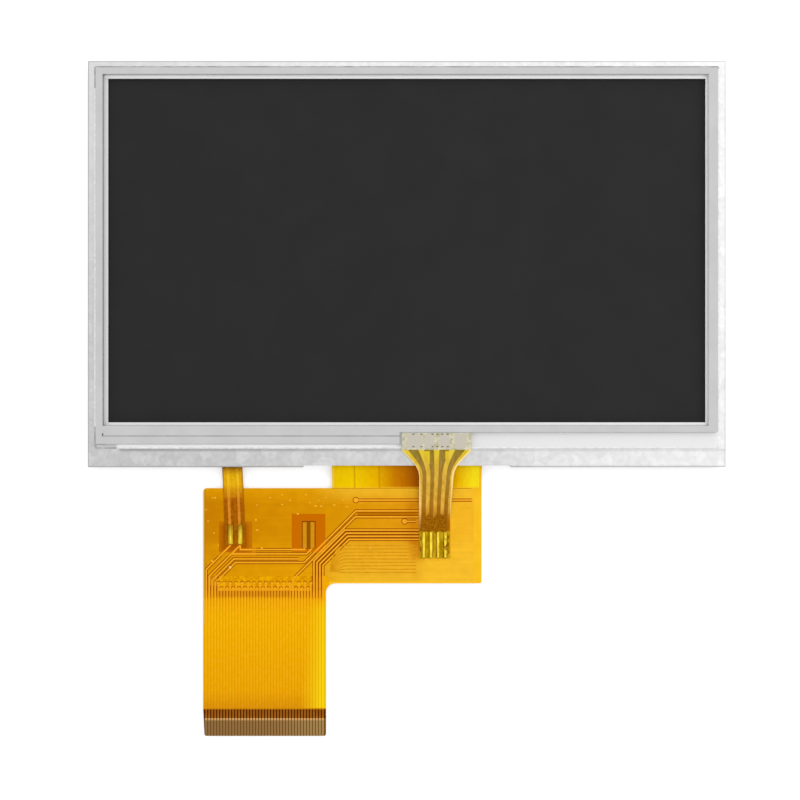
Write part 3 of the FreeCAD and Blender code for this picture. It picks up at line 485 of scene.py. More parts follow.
def contact_plating():
    # Plated contacts: brownish in the even light, lighter at their roots, with painted light to the right
    material, tree, surface, place = new_material("plated_contacts", {"Metallic": 0.3, "Roughness": 0.45})
    # Painted light: lighter to the right
    side = along(tree, place, "X", [(-34, "#86602C"), (-22, "#8E6630"), (-13.5, "#A08046")])
    roots = along(tree, place, "Y", [(-76.1, 0.0), (-75.8, 1.0)])
    paint(tree, surface, layered(tree, side, (roots, "#D8A464")))
    rough_skin(tree, surface, place, size=0.15, depth=0.003)
    return material


# The two small tails and their joints

def touch_tail_rim(tree, place):
    """1 along the touch tail's long edges, where its clear film catches the light."""
    # Half the tail's width along Y. A ramp holds levels up to 1, so this is in centimetres.
    per_cm = 100.0
    half = along(
        tree, place, "Y",
        [
            (-48.9, 0.26), (-42.5, 0.26), (-35.1, 0.2825), (-34.24, 0.2966), (-33.38, 0.3374),
            (-32.52, 0.401), (-31.66, 0.4811), (-30.8, 0.57), (-27.5, 0.57),
        ],
    )
    across = add(tree, "ShaderNodeSeparateXYZ", {"Vector": place}).outputs["X"]
    middle = TOUCH_TAIL_MIDDLE * MM
    offset = add(tree, "ShaderNodeMath", {0: across, 1: middle}, operation="SUBTRACT").outputs["Value"]
    reach = add(tree, "ShaderNodeMath", {0: offset}, operation="ABSOLUTE").outputs["Value"]
    past = add(tree, "ShaderNodeMath", {0: product(tree, reach, per_cm), 1: half}, operation="SUBTRACT")
    rim = add(
        tree, "ShaderNodeMapRange", {"Value": past.outputs["Value"], "From Min": -0.028, "From Max": -0.016}
    )
    open_run = along(
        tree, place, "Y", [(-44.5, 0.0), (-40.0, 0.6), (-36.0, 0.95), (-31.0, 0.95), (-30.4, 0.0)]
    )
    return product(tree, rim.outputs["Result"], open_run)


def touch_tail_film():
    # Clear polyester tail with yellow cover lay: pale lands under the glass, yellow below it with patches of
    # painted sheen, flux stained at its joints
    material, tree, surface, place = new_material("polyester_tail", AMBER_GLOSS)
    levels = along(
        tree, place, "Y",
        [
            (-44.5, "#AC6C08"), (-43.2, "#A05C04"), (-42.0, "#A8680A"), (-41.2, "#C88C1C"),
            (-39.8, "#DCA42C"), (-36.0, "#DEAA34"), (-33.0, "#DEB636"), (-30.9, "#DCC428"),
        ],
        wander=0.7,
    )
    # Painted sheen: patches of yellow highlight on the open film
    painted_sheen_mottle = mottled(tree, place, 0.6, "#B4842C", "#FFE070", detail=3.0, stretch=(1, 0.35, 1))
    open_film = along(tree, place, "Y", [(-42.5, 0.0), (-40.0, 0.3), (-31.2, 0.2)])
    pads = along(tree, place, "Y", [(-44.45, 1.0), (-44.3, 0.0)], wander=0.1)
    head = along(tree, place, "Y", [(-30.75, 0.0), (-30.6, 1.0)], wander=0.1)
    land_sides = ((0.05, 2.4), (2.95, 4.4), (5.55, 6.95), (7.95, 9.6))
    lands = [(left, right, -30.35, -28.1, 0.12, 1.0, "#C2C0B4") for left, right in land_sides]
    dots = [
        (x, x + 0.25, y, y + 0.12, 0.08, 1.0, "#66644E")
        for x in (0.95, 2.3, 4.1, 4.9, 5.7, 6.6) for y in (-28.15, -30.2)
    ]
    levels = layered(
        tree, levels,
        (open_film, painted_sheen_mottle),
        (pads, mottled(tree, place, 0.5, "#A67E00", "#CCA81A", stretch=(1, 0.3, 1))),
        (head, mottled(tree, place, 0.6, "#B0AE94", "#D6D4BC", detail=3.0)),
        *patches(tree, place, *lands, *dots),
        (touch_tail_rim(tree, place), "#FFE494"),
    )
    paint(tree, surface, levels)
    rough_skin(tree, surface, place, size=0.4, depth=0.002)
    return material


def touch_tail_print():
    # Silver conductors printed on the tail, olive brown through its cover lay, lost in flux at their ends
    material, tree, surface, place = new_material("printed_conductors", AMBER_GLOSS)
    levels = along(
        tree, place, "Y",
        [
            (-44.5, "#965400"), (-43.0, "#904C00"), (-41.6, "#925200"), (-39.6, "#A4680A"),
            (-37.4, "#A8781C"), (-35.0, "#A07A2C"), (-32.4, "#927A30"), (-30.9, "#7C6E26"),
        ],
        wander=0.7,
    )
    grain = mottled(tree, place, 0.45, "#7A5C18", "#B8964C", detail=3.0, stretch=(1, 0.3, 1))
    pads = along(tree, place, "Y", [(-44.45, 1.0), (-44.3, 0.0)], wander=0.1)
    clear_spots = (
        (2.95, 3.7, -32.9, -30.95, 0.15, 1.0, "#DEC02C"), (6.4, 7.0, -32.1, -30.95, 0.15, 1.0, "#DEC02C"),
    )
    levels = layered(
        tree, levels,
        (along(tree, place, "Y", [(-42.0, 0.1), (-38.0, 0.3)]), grain),
        (pads, mottled(tree, place, 0.4, "#C09A10", "#E6C030", stretch=(1, 0.3, 1))),
        *patches(tree, place, *clear_spots),
    )
    paint(tree, surface, levels)
    rough_skin(tree, surface, place, size=0.3, depth=0.002)
    return material


def backlight_tail_film():
    # The backlight's thin amber tail: yellow in the open, brown over the body, dark along its open edges,
    # with painted shade where it comes out from under the bezel
    material, tree, surface, place = new_material("backlight_tail_film", AMBER_GLOSS)
    # The last stops are painted shade where the tail comes out from under the bezel
    levels = along(
        tree, place, "Y",
        [
            (-46.7, "#A85A02"), (-44.4, "#904A00"), (-43.0, "#9A4A00"), (-38.9, "#A65000"),
            (-38.7, "#C47408"), (-37.4, "#D8960C"), (-36.6, "#F0BA10"), (-35.0, "#F0BC0C"),
            (-34.4, "#D8A21A"), (-33.95, "#B8820E"), (-33.75, "#784A00"),
        ],
        wander=0.15,
    )
    lean = (0, 0, -TAIL_LEAN)
    turned = add(tree, "ShaderNodeMapping", {"Vector": place, "Rotation": lean}).outputs["Vector"]
    threads = mottled(tree, turned, 0.4, "#C89A60", "#FFFFFF", stretch=(1, 0.04, 1))
    levels = layered(tree, levels, (0.45, threads), blend_type="MULTIPLY")
    edges = product(
        tree,
        along(
            tree, turned, "X",
            [(-32.09, 0.8), (-31.95, 0.5), (-31.85, 0.0), (-28.93, 0.0), (-28.83, 0.5), (-28.69, 0.8)],
        ),
        along(tree, place, "Y", [(-39.0, 0.15), (-37.5, 1.0)]),
    )
    spots = mottled(tree, place, 0.5, "#9A5402", "#E4B028")
    paint(tree, surface, layered(tree, levels, (edges, "#7E4E00"), (0.15, spots)))
    rough_skin(tree, surface, place, size=0.4, depth=0.002)
    return material


def backlight_tail_print():
    # Its two conductors: light amber lines over the body, hardly seen in the open, with painted shade where
    # they come out from under the bezel
    material, tree, surface, place = new_material("backlight_conductors", AMBER_GLOSS)
    # The last stops are painted shade where the conductors come out from under the bezel
    levels = along(
        tree, place, "Y",
        [
            (-46.7, "#B8780C"), (-43.0, "#CE7C14"), (-38.8, "#C87418"), (-38.6, "#D08A14"),
            (-37.4, "#E0A214"), (-36.6, "#F2C01C"), (-35.0, "#F2C21C"), (-34.4, "#DCA820"),
            (-33.95, "#BC8612"), (-33.75, "#784A00"),
        ],
    )
    paint(tree, surface, layered(tree, levels, (0.2, mottled(tree, place, 0.5, "#C87C14", "#FFC048"))))
    rough_skin(tree, surface, place, size=0.3, depth=0.002)
    return material


def fluxed_solder():
    # Solder and gilt pads under flux: a painted highlight of bright yellow along the crest and painted shade
    # of olive at the flanks, burnt at the touch tail's right end, and painted shade at the backlight tail's
    # roots
    shader = {"Metallic": 0.15, "Roughness": 0.4, "Specular Tint": linear("#FFC030")}
    material, tree, surface, place = new_material("fluxed_solder", shader)
    # Painted light and shade by how far the surface faces up: highlight on the crest, shade on the flanks
    crest = add(
        tree, "ShaderNodeValToRGB", {"Fac": facing_up(tree)},
        stops=[(0.3, "#8C5E00"), (0.68, "#A8800A"), (0.86, "#E4B81E"), (0.95, "#FFE848")],
    ).outputs["Color"]
    blotches = mottled(tree, place, 0.5, "#B88A10", "#FFFFFF", detail=3.0, stretch=(1, 0.4, 1))
    burnt = mottled(tree, place, 0.45, "#7A4200", "#FFFFFF", detail=3.0, low=0.46, high=0.54)
    right_end = product(
        tree,
        along(tree, place, "X", [(4.9, 0.0), (6.2, 0.8)]),
        along(tree, place, "Y", [(-46.5, 1.0), (-44.5, 0.3)]),
    )
    # Painted shade at the backlight tail's roots
    painted_root_shade = product(
        tree,
        along(tree, place, "X", [(-21.0, 1.0), (-20.0, 0.0)]),
        along(tree, place, "Y", [(-45.4, 0.0), (-43.6, 0.75)]),
    )
    metal = layered(tree, crest, (0.4, blotches), (right_end, burnt), blend_type="MULTIPLY")
    paint(tree, surface, layered(tree, metal, (painted_root_shade, "#94680A")))
    rough_skin(tree, surface, place, size=0.2, depth=0.012)
    return material


# The finishes

# Those with one pattern of patches and one fine skin. A row is the material's name, its dark and its
# light tone, the size of its patches, the size and the depth of its skin's grain, all in millimetres,
# and its shader.
PLAIN_FINISHES = {
    # Injection moulded white polycarbonate: reflective, with faint flow marks
    "mould": ("white_polycarbonate", "#E9EAE8", "#F6F6F4", 3.0, 0.2, 0.004, {"Roughness": 0.5}),
    # Polished acrylic: clear, a little green at the edges
    "light_guide": (
        "clear_acrylic", "#DDEAE4", "#F2F8F6", 5.0, 0.6, 0.002, {"Roughness": 0.12, "Alpha": 0.35},
    ),
    # Expanded white polyester: matt and bright
    "white_film": ("white_polyester", "#F0F0EE", "#FBFBFA", 1.5, 0.1, 0.002, {"Roughness": 0.7}),
    # Micro-ridged brightness film: milky with a silver sheen
    "prism_film": ("prism_film", "#D9DDE0", "#EEF1F3", 2.0, 0.08, 0.004, {"Roughness": 0.3, "Alpha": 0.7}),
    # Black printed polyester tape: dense and dull
    "black_tape": ("black_tape", "#101010", "#1A1A1A", 1.0, 0.12, 0.003, {"Roughness": 0.6}),
    # Thin display glass: grey green at its edges
    "display_glass": ("display_glass", "#4A5450", "#5C6662", 4.0, 0.5, 0.0005, {"Roughness": 0.08}),
    # Black closed-cell cushion foam: fine pores that take the light away
    "foam": ("black_foam", "#17171A", "#26262A", 0.2, 0.15, 0.02, {"Roughness": 0.95}),
    # Bare silicon: dark blue grey and mirror smooth
    "silicon": ("silicon", "#2A2E38", "#343A46", 1.0, 0.4, 0.0005, {"Roughness": 0.15, "Metallic": 0.4}),
    # Painted shade in the joints of the spacer: a grey strip a shade darker than the tape
    "seam": ("painted_joint_shade", "#989896", "#A8A8A6", 1.5, 0.1, 0.002, {"Roughness": 0.6}),
    # Burnt flux resin round the touch tail's joints: glossy brown
    "flux": ("flux_resin", "#7A4200", "#A0680C", 0.3, 0.3, 0.01, AMBER_GLOSS),
    # Cover film over the back layer's traces, lifted into faint ridges: painted a shade paler along them as a
    # highlight
    "ridge": ("raised_cover_film", "#CE8A0C", "#DC981C", 0.8, 0.3, 0.002, AMBER_GLOSS),
    # Bare film in the clear rings round the via pads: dark amber
    "ring_gap": ("bare_film_ring", "#A86000", "#BA7000", 0.3, 0.2, 0.002, AMBER_GLOSS),
    # Dust and resin under the cover film: small pale dots
    "speck": ("resin_speck", "#F0AC24", "#FABE40", 0.2, 0.1, 0.004, AMBER_GLOSS),
    # A splash of bare solder, pale under its flux
    "spatter": ("solder_splash", "#F4BC58", "#FFD478", 0.2, 0.1, 0.004, {"Roughness": 0.4}),
    # Cover film that has sunk beside the bare pads: a dark outline of painted shade
    "pad_outline": ("pad_outline", "#823400", "#904000", 0.3, 0.2, 0.002, AMBER_GLOSS),
    # White ceramic package with a yellow phosphor face
    "led": ("led_package", "#EFEBD8", "#F7F2C8", 0.6, 0.2, 0.004, {"Roughness": 0.5}),
    # Fired ceramic capacitor bodies: tan and dull
    "ceramic": ("fired_ceramic", "#9A7A58", "#B39472", 0.3, 0.1, 0.006, {"Roughness": 0.6}),
    # Dyed polyester stiffener: blue and satin smooth
    "stiffener": ("stiffener_film", "#3A6EA8", "#4A7EB6", 1.2, 0.2, 0.003, {"Roughness": 0.45}),
}

library = {name: plain_material(*row) for name, row in PLAIN_FINISHES.items()}
library.update({
    "bezel": stainless_bezel(),
    "chassis": chassis_steel(),
    "polarizer": front_polarizer(),
    "tape": mounting_tape(),
    "silver_ink": pale_frame("printed_silver_ink", skin=0.05),
    "adhesive": pale_frame("spacer_tape", skin=0.1),
    # Float glass with a green cast, and hard-coated polyester film with a finer grain
    "glass": clear_sheet("touch_glass", "#E6EEEA", skin=0.5),
    "glass_edge": ground_glass_edge(),
    "touch_film": clear_sheet("touch_film", "#EEEEF2", skin=0.08),
    "film": polyimide_film(),
    "plane": copper_plane(),
    "traces": copper_traces(),
    "contacts": contact_plating(),
    "touch_tail": touch_tail_film(),
    "touch_print": touch_tail_print(),
    "backlight_tail": backlight_tail_film(),
    "backlight_print": backlight_tail_print(),
    "solder": fluxed_solder(),
})

# The finish of each solid's node
NODE_MATERIALS = {
    "front_bezel": "bezel",
    "rear_chassis": "chassis",
    "mould_frame": "mould",
    "reflector_sheet": "white_film",
    "light_guide_plate": "light_guide",
    "diffuser_film": "white_film",
    "prism_film_lower": "prism_film",
    "prism_film_upper": "prism_film",
    "rim_tape": "black_tape",
    "backlight_leds": "led",
    "backlight_flex": "backlight_tail",
    "backlight_flex_traces": "backlight_print",
    "backlight_solder_joints": "solder",
    "lower_polarizer": "polarizer",
    "tft_glass": "display_glass",
    "colour_filter_glass": "display_glass",
    "upper_polarizer": "polarizer",
    "driver_chip": "silicon",
    "cushion_gasket": "foam",
    "display_flex": "film",
    "flex_ground_plane": "plane",
    "flex_traces": "traces",
    "contact_fingers": "contacts",
    "contact_stiffener": "stiffener",
    "flex_capacitors": "ceramic",
    "touch_mounting_tape": "tape",
    "touch_glass": "glass",
    "touch_spacer_adhesive": "adhesive",
    "touch_bus_bars": "silver_ink",
    "touch_film": "touch_film",
    "touch_flex": "touch_tail",
    "touch_flex_traces": "touch_print",
    "touch_solder_joints": "solder",
}

for name, choice in NODE_MATERIALS.items():
    for slot in nodes[name].material_slots:
        slot.material = library[choice]


# Modelling by hand: a primitive, shaped in edit mode, then settled as a piece

def start_block(low, high):
    """Add a cube between two corners given in millimetres, alone in the selection."""
    bpy.ops.object.select_all(action="DESELECT")
    middle = [(first + last) / 2 * MM for first, last in zip(low, high)]
    bpy.ops.mesh.primitive_cube_add(size=1, location=middle)
    block = bpy.context.object
    block.scale = [(last - first) * MM for first, last in zip(low, high)]
    bpy.ops.object.transform_apply(location=False, rotation=False, scale=True)
    return block


def round_edges(block, chosen, width, segments):
    """Bevel the edges whose direction and place pass a test, by a width in millimetres."""
    bpy.ops.object.mode_set(mode="EDIT")
    bpy.ops.mesh.select_mode(type="EDGE")
    bpy.ops.mesh.select_all(action="DESELECT")
    mesh = bmesh.from_edit_mesh(block.data)
    for edge in mesh.edges:
        edge.select_set(chosen(edge))
    bmesh.update_edit_mesh(block.data)
    bpy.ops.mesh.bevel(offset=width * MM, segments=segments, affect="EDGES")
    bpy.ops.object.mode_set(mode="OBJECT")


def is_upright(edge):
    """An edge that climbs more than it runs."""
    first, last = (vertex.co for vertex in edge.verts)
    return abs(first.z - last.z) > (first.xy - last.xy).length


def is_rim(edge):
    """An edge between an upright face and a level one."""
    levels = [abs(face.normal.z) > 0.5 for face in edge.link_faces]
    return len(levels) == 2 and levels[0] != levels[1]


def apply_modifier(piece, kind, **settings):
    """Add a modifier with its settings and apply it."""
    modifier = piece.modifiers.new(kind.lower(), kind)
    for name, value in settings.items():
        setattr(modifier, name, value)
    bpy.context.view_layer.objects.active = piece
    bpy.ops.object.modifier_apply(modifier=modifier.name)


def settle(piece, name, material, angle=40):
    """Name a finished piece, give it its finish and let it ride on the module."""
    bpy.ops.object.select_all(action="DESELECT")
    piece.select_set(True)
    bpy.context.view_layer.objects.active = piece
    bpy.ops.object.transform_apply(location=True, rotation=True, scale=True)
    bpy.ops.object.shade_smooth_by_angle(angle=math.radians(angle))
    piece.name = name
    if not piece.data.materials:
        piece.data.materials.append(library[material])
    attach(piece, "root")
    return piece


def joined(pieces):
    """Several meshes as one piece."""
    bpy.ops.object.select_all(action="DESELECT")
    for piece in pieces:
        piece.select_set(True)
    bpy.context.view_layer.objects.active = pieces[0]
    bpy.ops.object.join()
    return pieces[0]


def copy_to(piece, shift):
    """A copy with its own mesh, moved by a shift in millimetres."""
    copy = piece.copy()
    copy.data = piece.data.copy()
    bpy.context.scene.collection.objects.link(copy)
    copy.location = piece.location + Vector([step * MM for step in shift])
    return copy


def ribbon(points, width, level, thickness):
    """A thin strip along a path in millimetres: an edge, extruded from point to point and turned."""
    neighbours = zip(points[:1] + points[:-1], points[1:] + points[-1:])
    aims = [math.atan2(after[1] - before[1], after[0] - before[0]) for before, after in neighbours]
    start_x, start_y = points[0]
    bpy.ops.object.select_all(action="DESELECT")
    bpy.ops.mesh.primitive_plane_add(size=1, location=(start_x * MM, start_y * MM, level * MM))
    strip = bpy.context.object
    bpy.ops.object.mode_set(mode="EDIT")
    bpy.ops.mesh.select_mode(type="VERT")
    bpy.ops.mesh.select_all(action="SELECT")
    bpy.ops.transform.resize(value=(0, width * MM, 1))
    bpy.ops.mesh.remove_doubles(threshold=width * MM / 10)
    bpy.ops.mesh.select_all(action="SELECT")
    bpy.ops.transform.rotate(value=-aims[0], orient_axis="Z", center_override=strip.location)
    for index in range(1, len(points)):
        before, after = points[index - 1], points[index]
        move = ((after[0] - before[0]) * MM, (after[1] - before[1]) * MM, 0)
        bpy.ops.mesh.extrude_region_move(TRANSFORM_OT_translate={"value": move})
        bpy.ops.transform.rotate(
            value=aims[index - 1] - aims[index], orient_axis="Z",
            center_override=(after[0] * MM, after[1] * MM, level * MM),
        )
    bpy.ops.mesh.select_all(action="SELECT")
    bpy.ops.mesh.normals_make_consistent(inside=False)
    bpy.ops.object.mode_set(mode="OBJECT")
    apply_modifier(strip, "SOLIDIFY", thickness=thickness * MM, offset=0.0)
    return strip


# Touch panel

# How far its clear sheets stand off what they touch, and the height of its seams, in millimetres
SKIN_GAP = 0.004
SEAM_LEVEL = 3.8


def let_light_through(sheet):
    """A clear sheet is seen, but takes no light from what lies under it."""
    sheet.visible_shadow = False
    sheet.visible_diffuse = False
    sheet.visible_glossy = False


def glass_pane():
    """The lower glass, with round corners and ground edges."""
    low, high = (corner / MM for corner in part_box("touch_glass"))
    pane = start_block((low.x, low.y, low.z + SKIN_GAP), (high.x, high.y, high.z - SKIN_GAP))
    round_edges(pane, is_upright, width=0.35, segments=4)
    round_edges(pane, is_rim, width=0.25, segments=2)
    pane.data.materials.append(library["glass"])
    pane.data.materials.append(library["glass_edge"])
    for face in pane.data.polygons:
        face.material_index = 0 if abs(face.normal.z) > 0.99 else 1
    settle(pane, "glass_pane", "glass")
    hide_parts("touch_glass")
    let_light_through(pane)


def film_sheet():
    """The soft top film, a little smaller than the glass, with round corners."""
    low, high = (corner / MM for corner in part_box("touch_film"))
    film = start_block((low.x, low.y, low.z + SKIN_GAP), high)
    round_edges(film, is_upright, width=0.5, segments=4)
    round_edges(film, is_rim, width=0.04, segments=1)
    settle(film, "film_sheet", "touch_film")
    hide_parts("touch_film")
    let_light_through(film)


def spacer_seams():
    """Grey strips of painted shade in the joint along the bottom band and round the tail's head."""
    seams = [
        ribbon([(-50.03, -28.39), (-1.2, -28.39)], width=0.2, level=SEAM_LEVEL, thickness=0.09),
        ribbon([(-0.8, -27.83), (10.6, -27.83)], width=0.15, level=SEAM_LEVEL, thickness=0.09),
        ribbon([(-1.0, -27.8), (-1.0, -29.65)], width=0.4, level=SEAM_LEVEL - 0.01, thickness=0.07),
    ]
    settle(joined(seams), "spacer_seams", "seam")


# Joints of the two tails

# A bead's length at its crest is this share of its foot's. The other two are in millimetres.
CREST_LENGTH = 0.95
CREST_HEIGHT = 0.12
CREST_UNEVENNESS = 0.05

# A loose crowd of flux blisters over the tail, spread by two steps that never fall into line
FLUX_COUNT = 34
FLUX_STEP_X = 0.755
FLUX_STEP_Y = 0.57
FLUX_LEFT = 2.4
FLUX_WIDTH = 4.4
FLUX_LOW = -44.2
FLUX_REACH = 2.6
FLUX_LEVEL = 0.83

# Flux blisters beside the pads: middle X and Y, half width and half height in millimetres
FLUX_SPOTS = (
    (6.95, -45.3, 0.14, 0.3), (6.9, -46.6, 0.18, 0.35), (7.0, -47.9, 0.12, 0.25), (2.35, -45.6, 0.1, 0.4),
    (2.3, -47.4, 0.1, 0.5), (6.6, -47.3, 0.12, 0.2), (6.15, -46.2, 0.1, 0.22), (5.1, -46.9, 0.08, 0.2),
)


def solder_bead(low, high, crest, seed):
    """A bead of solder: a block drawn up into a rounded, uneven crest that is a share of its width."""
    bead = start_block(low, high)
    bpy.ops.object.mode_set(mode="EDIT")
    bpy.ops.mesh.select_all(action="SELECT")
    bpy.ops.mesh.subdivide(number_cuts=7)
    mesh = bmesh.from_edit_mesh(bead.data)
    bpy.ops.mesh.select_all(action="DESELECT")
    for vertex in mesh.verts:
        vertex.select_set(vertex.co.z > 0)
    bmesh.update_edit_mesh(bead.data)
    bpy.ops.transform.resize(value=(crest, CREST_LENGTH, 1.0))
    bpy.ops.transform.vertex_random(offset=CREST_UNEVENNESS * MM, uniform=0.3, normal=0.0, seed=seed)
    bpy.ops.object.mode_set(mode="OBJECT")
    apply_modifier(bead, "SMOOTH", factor=0.5, iterations=4)
    return bead


def solder_beads(node, name, count, pad, crest):
    """A row of beads over the pads of one tail, each as wide as its pad."""
    low, high = (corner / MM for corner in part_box(node))
    pitch = (high.x - low.x - pad) / (count - 1)
    beads = []
    for index in range(count):
        left = low.x + index * pitch
        foot = (left, low.y, low.z)
        top = (left + pad, high.y, high.z + CREST_HEIGHT)
        beads.append(solder_bead(foot, top, crest, seed=index + 1))
    beads = settle(joined(beads), name, "solder", angle=60)
    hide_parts(node)


def flat_blister(x, y, z, wide, tall, high, seed):
    """A low rounded blister: a ball pressed flat, with an uneven outline."""
    bpy.ops.object.select_all(action="DESELECT")
    bpy.ops.mesh.primitive_ico_sphere_add(subdivisions=2, radius=1, location=(x * MM, y * MM, z * MM))
    blister = bpy.context.object
    blister.scale = (wide * MM, tall * MM, high * MM)
    bpy.ops.object.transform_apply(location=False, rotation=False, scale=True)
    bpy.ops.object.mode_set(mode="EDIT")
    bpy.ops.mesh.select_all(action="SELECT")
    bpy.ops.transform.vertex_random(offset=wide * MM / 4, uniform=0.4, normal=0.0, seed=seed)
    bpy.ops.transform.resize(value=(1, 1, 0.5))
    bpy.ops.object.mode_set(mode="OBJECT")
    return blister


def flux_places():
    """A loose crowd of blisters across the tail above its pads, then the spots beside the pads."""
    places = []
    for index in range(FLUX_COUNT):
        x = FLUX_LEFT + FLUX_WIDTH * ((index * FLUX_STEP_X) % 1)
        y = FLUX_LOW + FLUX_REACH * ((index * FLUX_STEP_Y + 0.1) % 1) ** 1.4
        places.append((x, y, 0.2 + 0.07 * (index % 4), 0.28 + 0.1 * (index % 5)))
    return places + list(FLUX_SPOTS)


def flux_residue():
    """Burnt resin round the touch tail's joints: flat blisters of many sizes."""
    blisters = []
    for index, (x, y, wide, tall) in enumerate(flux_places()):
        blisters.append(flat_blister(x, y, FLUX_LEVEL, wide, tall, high=0.05, seed=index))
    settle(joined(blisters), "flux_residue", "flux")


# What shows through the cover film: the back layer's traces, rings round the via pads, and specks

# Lengths are in millimetres, and the via pads are numbered from the left, as the contacts are
FILM_LEVEL = 0.7
RIDGE_COUNT = 9
RIDGE_TOP = -46.8
RIDGE_PITCH = 0.56
RIDGE_BOTTOM = -51.2
RIDGE_RIGHT = 1.6
RIDGE_TURN = -10.6
RIDGE_FOOT = -12.75
FIRST_VIA = 4
LAST_VIA = 35
MISSING_VIA = 29
VIA_ROW_STEP = 0.9
RING_RADIUS = 0.36
RING_WIDTH = 0.13

# Specks under the film: X and Y in millimetres
SPECKS = (
    (-32.4, -38.8), (-32.0, -38.8), (-33.5, -40.8), (-32.2, -44.7), (-33.2, -42.7), (-29.5, -41.0),
    (-25.0, -40.0), (-25.2, -42.5), (-25.0, -44.2), (-20.8, -39.9), (-20.8, -38.3), (-16.8, -38.3),
    (-14.7, -39.3), (-14.3, -40.2), (-12.1, -40.0), (-16.2, -39.6), (-22.8, -38.8), (-15.2, -40.2),
    (-19.5, -39.2), (-18.2, -41.5), (-13.5, -38.8), (-10.6, -39.2), (-10.0, -40.3), (-32.5, -49.4),
    (-31.5, -46.7), (-24.2, -47.2), (8.1, -41.0), (9.7, -46.0), (-9.1, -46.9), (-6.1, -47.2),
)


def back_layer_ridges():
    """Traces of the back layer, which press the cover film into faint ridges and turn down into the tail."""
    ridges = []
    for index in range(RIDGE_COUNT):
        y = RIDGE_TOP - index * RIDGE_PITCH
        turn_x = RIDGE_TURN + 0.1 * index
        end_x = RIDGE_FOOT + 0.16 * index
        wave = 0.04 * math.sin(2.4 * index)
        path = [(RIDGE_RIGHT, y), (-2.0, y + wave), (-6.0, y - wave), (turn_x, y)]
        for share in (0.3, 0.55, 0.8, 1.0):
            turn = share * math.pi / 2
            x = turn_x + (end_x - turn_x) * math.sin(turn)
            path.append((x, y + (RIDGE_BOTTOM - y) * (1 - math.cos(turn))))
        ridges.append(ribbon(path, width=0.16, level=FILM_LEVEL, thickness=0.006))
    settle(joined(ridges), "back_layer_ridges", "ridge")


def contact_x(index):
    """The middle of one of the contacts, in millimetres."""
    return TAIL_MIDDLE + (index - (CONTACT_COUNT - 1) / 2) * CONTACT_PITCH


def via_rings():
    """Dark half rings above the via pads, in two staggered rows."""
    turns = [math.radians(turn) for turn in range(25, 160, 22)]
    arc = [(RING_RADIUS * math.cos(turn), RING_RADIUS * math.sin(turn)) for turn in turns]
    first = ribbon(arc, width=RING_WIDTH, level=FILM_LEVEL + 0.002, thickness=0.004)
    rings = []
    for index in range(FIRST_VIA, LAST_VIA + 1):
        if index == MISSING_VIA:
            continue
        upper = (index % 2 == 0) == (index < MISSING_VIA)
        y = BODY_BOTTOM if upper else BODY_BOTTOM - VIA_ROW_STEP
        rings.append(copy_to(first, (contact_x(index), y, 0)))
    bpy.data.objects.remove(first)
    settle(joined(rings), "via_rings", "ring_gap")


def resin_specks():
    """Small flat blisters under the cover film, and one splash of solder on it."""
    specks = []
    for index, (x, y) in enumerate(SPECKS):
        wide = 0.14 + 0.04 * (index % 3)
        tall = 0.12 + 0.03 * (index % 2)
        specks.append(flat_blister(x, y, FILM_LEVEL, wide, tall, high=0.02, seed=index))
    settle(joined(specks), "resin_specks", "speck")
    splash = flat_blister(-29.5, -50.45, FILM_LEVEL + 0.02, wide=0.2, tall=0.22, high=0.06, seed=5)
    settle(splash, "solder_speck", "spatter")


def pad_outlines():
    """The sunk outline round the spare pads, dark with painted shade, open at its foot."""
    corners = [(-17.45, -47.2), (-17.45, -42.75), (-15.3, -42.75), (-15.3, -47.2)]
    bars = []
    for side in zip(corners, corners[1:]):
        bars.append(ribbon(list(side), width=0.16, level=FILM_LEVEL - 0.028, thickness=0.004))
    settle(joined(bars), "pad_outline", "pad_outline")


glass_pane()
film_sheet()
spacer_seams()
solder_beads("touch_solder_joints", "touch_beads", count=4, pad=0.62, crest=0.68)
solder_beads("backlight_solder_joints", "backlight_beads", count=2, pad=0.75, crest=0.45)
flux_residue()
back_layer_ridges()
via_rings()
resin_specks()
pad_outlines()


# Floor, light and camera

# The floor's own glow, for rays that show it, brings its plain grey up to white and keeps the shadow
FLOOR_GLOW = 0.42
SKY_STRENGTH = 0.8
# The camera looks straight down on the module, from this place in millimetres
CAMERA_PLACE = (-1.12, -22.47, 196.53)
LENS = 52.74


def seen_directly(tree):
    """1 for rays that show the scene, in the open, mirrored or through clear stuff, and 0 for light."""
    ray = add(tree, "ShaderNodeLightPath").outputs
    seen = ray["Is Camera Ray"]
    for kind in ("Is Glossy Ray", "Is Transmission Ray"):
        either = add(tree, "ShaderNodeMath", {0: seen, 1: ray[kind]}, operation="ADD", use_clamp=True)
        seen = either.outputs["Value"]
    return seen


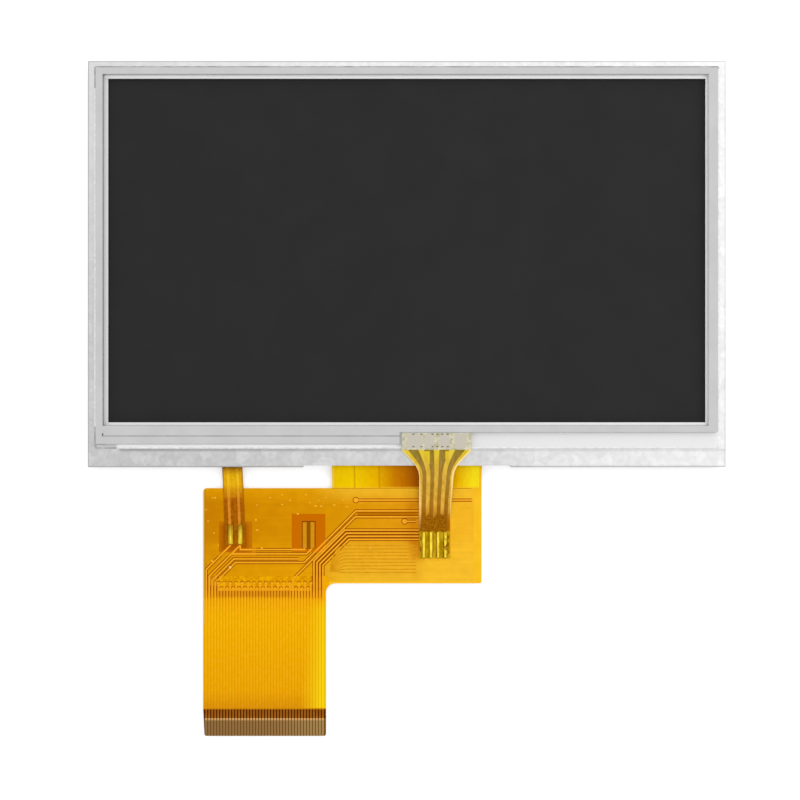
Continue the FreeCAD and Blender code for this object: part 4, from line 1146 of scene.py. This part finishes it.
def make_floor():
    """A plain pale floor, just under the module."""
    bpy.ops.object.select_all(action="DESELECT")
    bpy.ops.mesh.primitive_plane_add(size=3, location=(0, 0, -0.00002))
    floor = bpy.context.object
    floor.name = "floor"
    # Uncoated white paper: quite matt
    material, tree, surface, _ = new_material("white_paper", {"Roughness": 0.9, "Specular IOR Level": 0.0})
    surface.inputs["Base Color"].default_value = linear("#E4E4E4")
    glow = add(tree, "ShaderNodeEmission", {"Strength": product(tree, seen_directly(tree), FLOOR_GLOW)})
    both = add(tree, "ShaderNodeAddShader", {0: surface.outputs["BSDF"], 1: glow.outputs["Emission"]})
    tree.links.new(both.outputs["Shader"], tree.nodes["Material Output"].inputs["Surface"])
    floor.data.materials.append(material)


def make_world():
    """Even light from all round, and plain white for rays that show it."""
    world = bpy.data.worlds.new("studio")
    bpy.context.scene.world = world
    world.use_nodes = True
    tree = world.node_tree
    soft = tree.nodes["Background"]
    soft.inputs["Color"].default_value = linear("#FFFFFF")
    soft.inputs["Strength"].default_value = SKY_STRENGTH
    white = add(tree, "ShaderNodeBackground", {"Color": linear("#FFFFFF"), "Strength": 1.0})
    inputs = {0: seen_directly(tree), 1: soft.outputs["Background"], 2: white.outputs["Background"]}
    choose = add(tree, "ShaderNodeMixShader", inputs)
    tree.links.new(choose.outputs["Shader"], tree.nodes["World Output"].inputs["Surface"])


def soft_box(name, place, target, size, power):
    """A square area light that looks at a point."""
    data = bpy.data.lights.new(name, "AREA")
    data.shape = "SQUARE"
    data.size = size
    data.energy = power
    lamp = bpy.data.objects.new(name, data)
    bpy.context.scene.collection.objects.link(lamp)
    lamp.location = place
    lamp.rotation_euler = (Vector(target) - Vector(place)).to_track_quat("-Z", "Y").to_euler()


def make_camera():
    """The photograph's view, square on to the touch face."""
    data = bpy.data.cameras.new("camera")
    data.sensor_width = 36
    data.lens = LENS
    data.clip_start = 0.01
    camera = bpy.data.objects.new("camera", data)
    bpy.context.scene.collection.objects.link(camera)
    camera.location = [step * MM for step in CAMERA_PLACE]
    bpy.context.scene.camera = camera


make_camera()
make_floor()
make_world()
soft_box("key", place=(0.38, 0.28, 0.75), target=(0, -0.02, 0), size=1.0, power=3.1)
bpy.context.scene.view_settings.view_transform = "Standard"
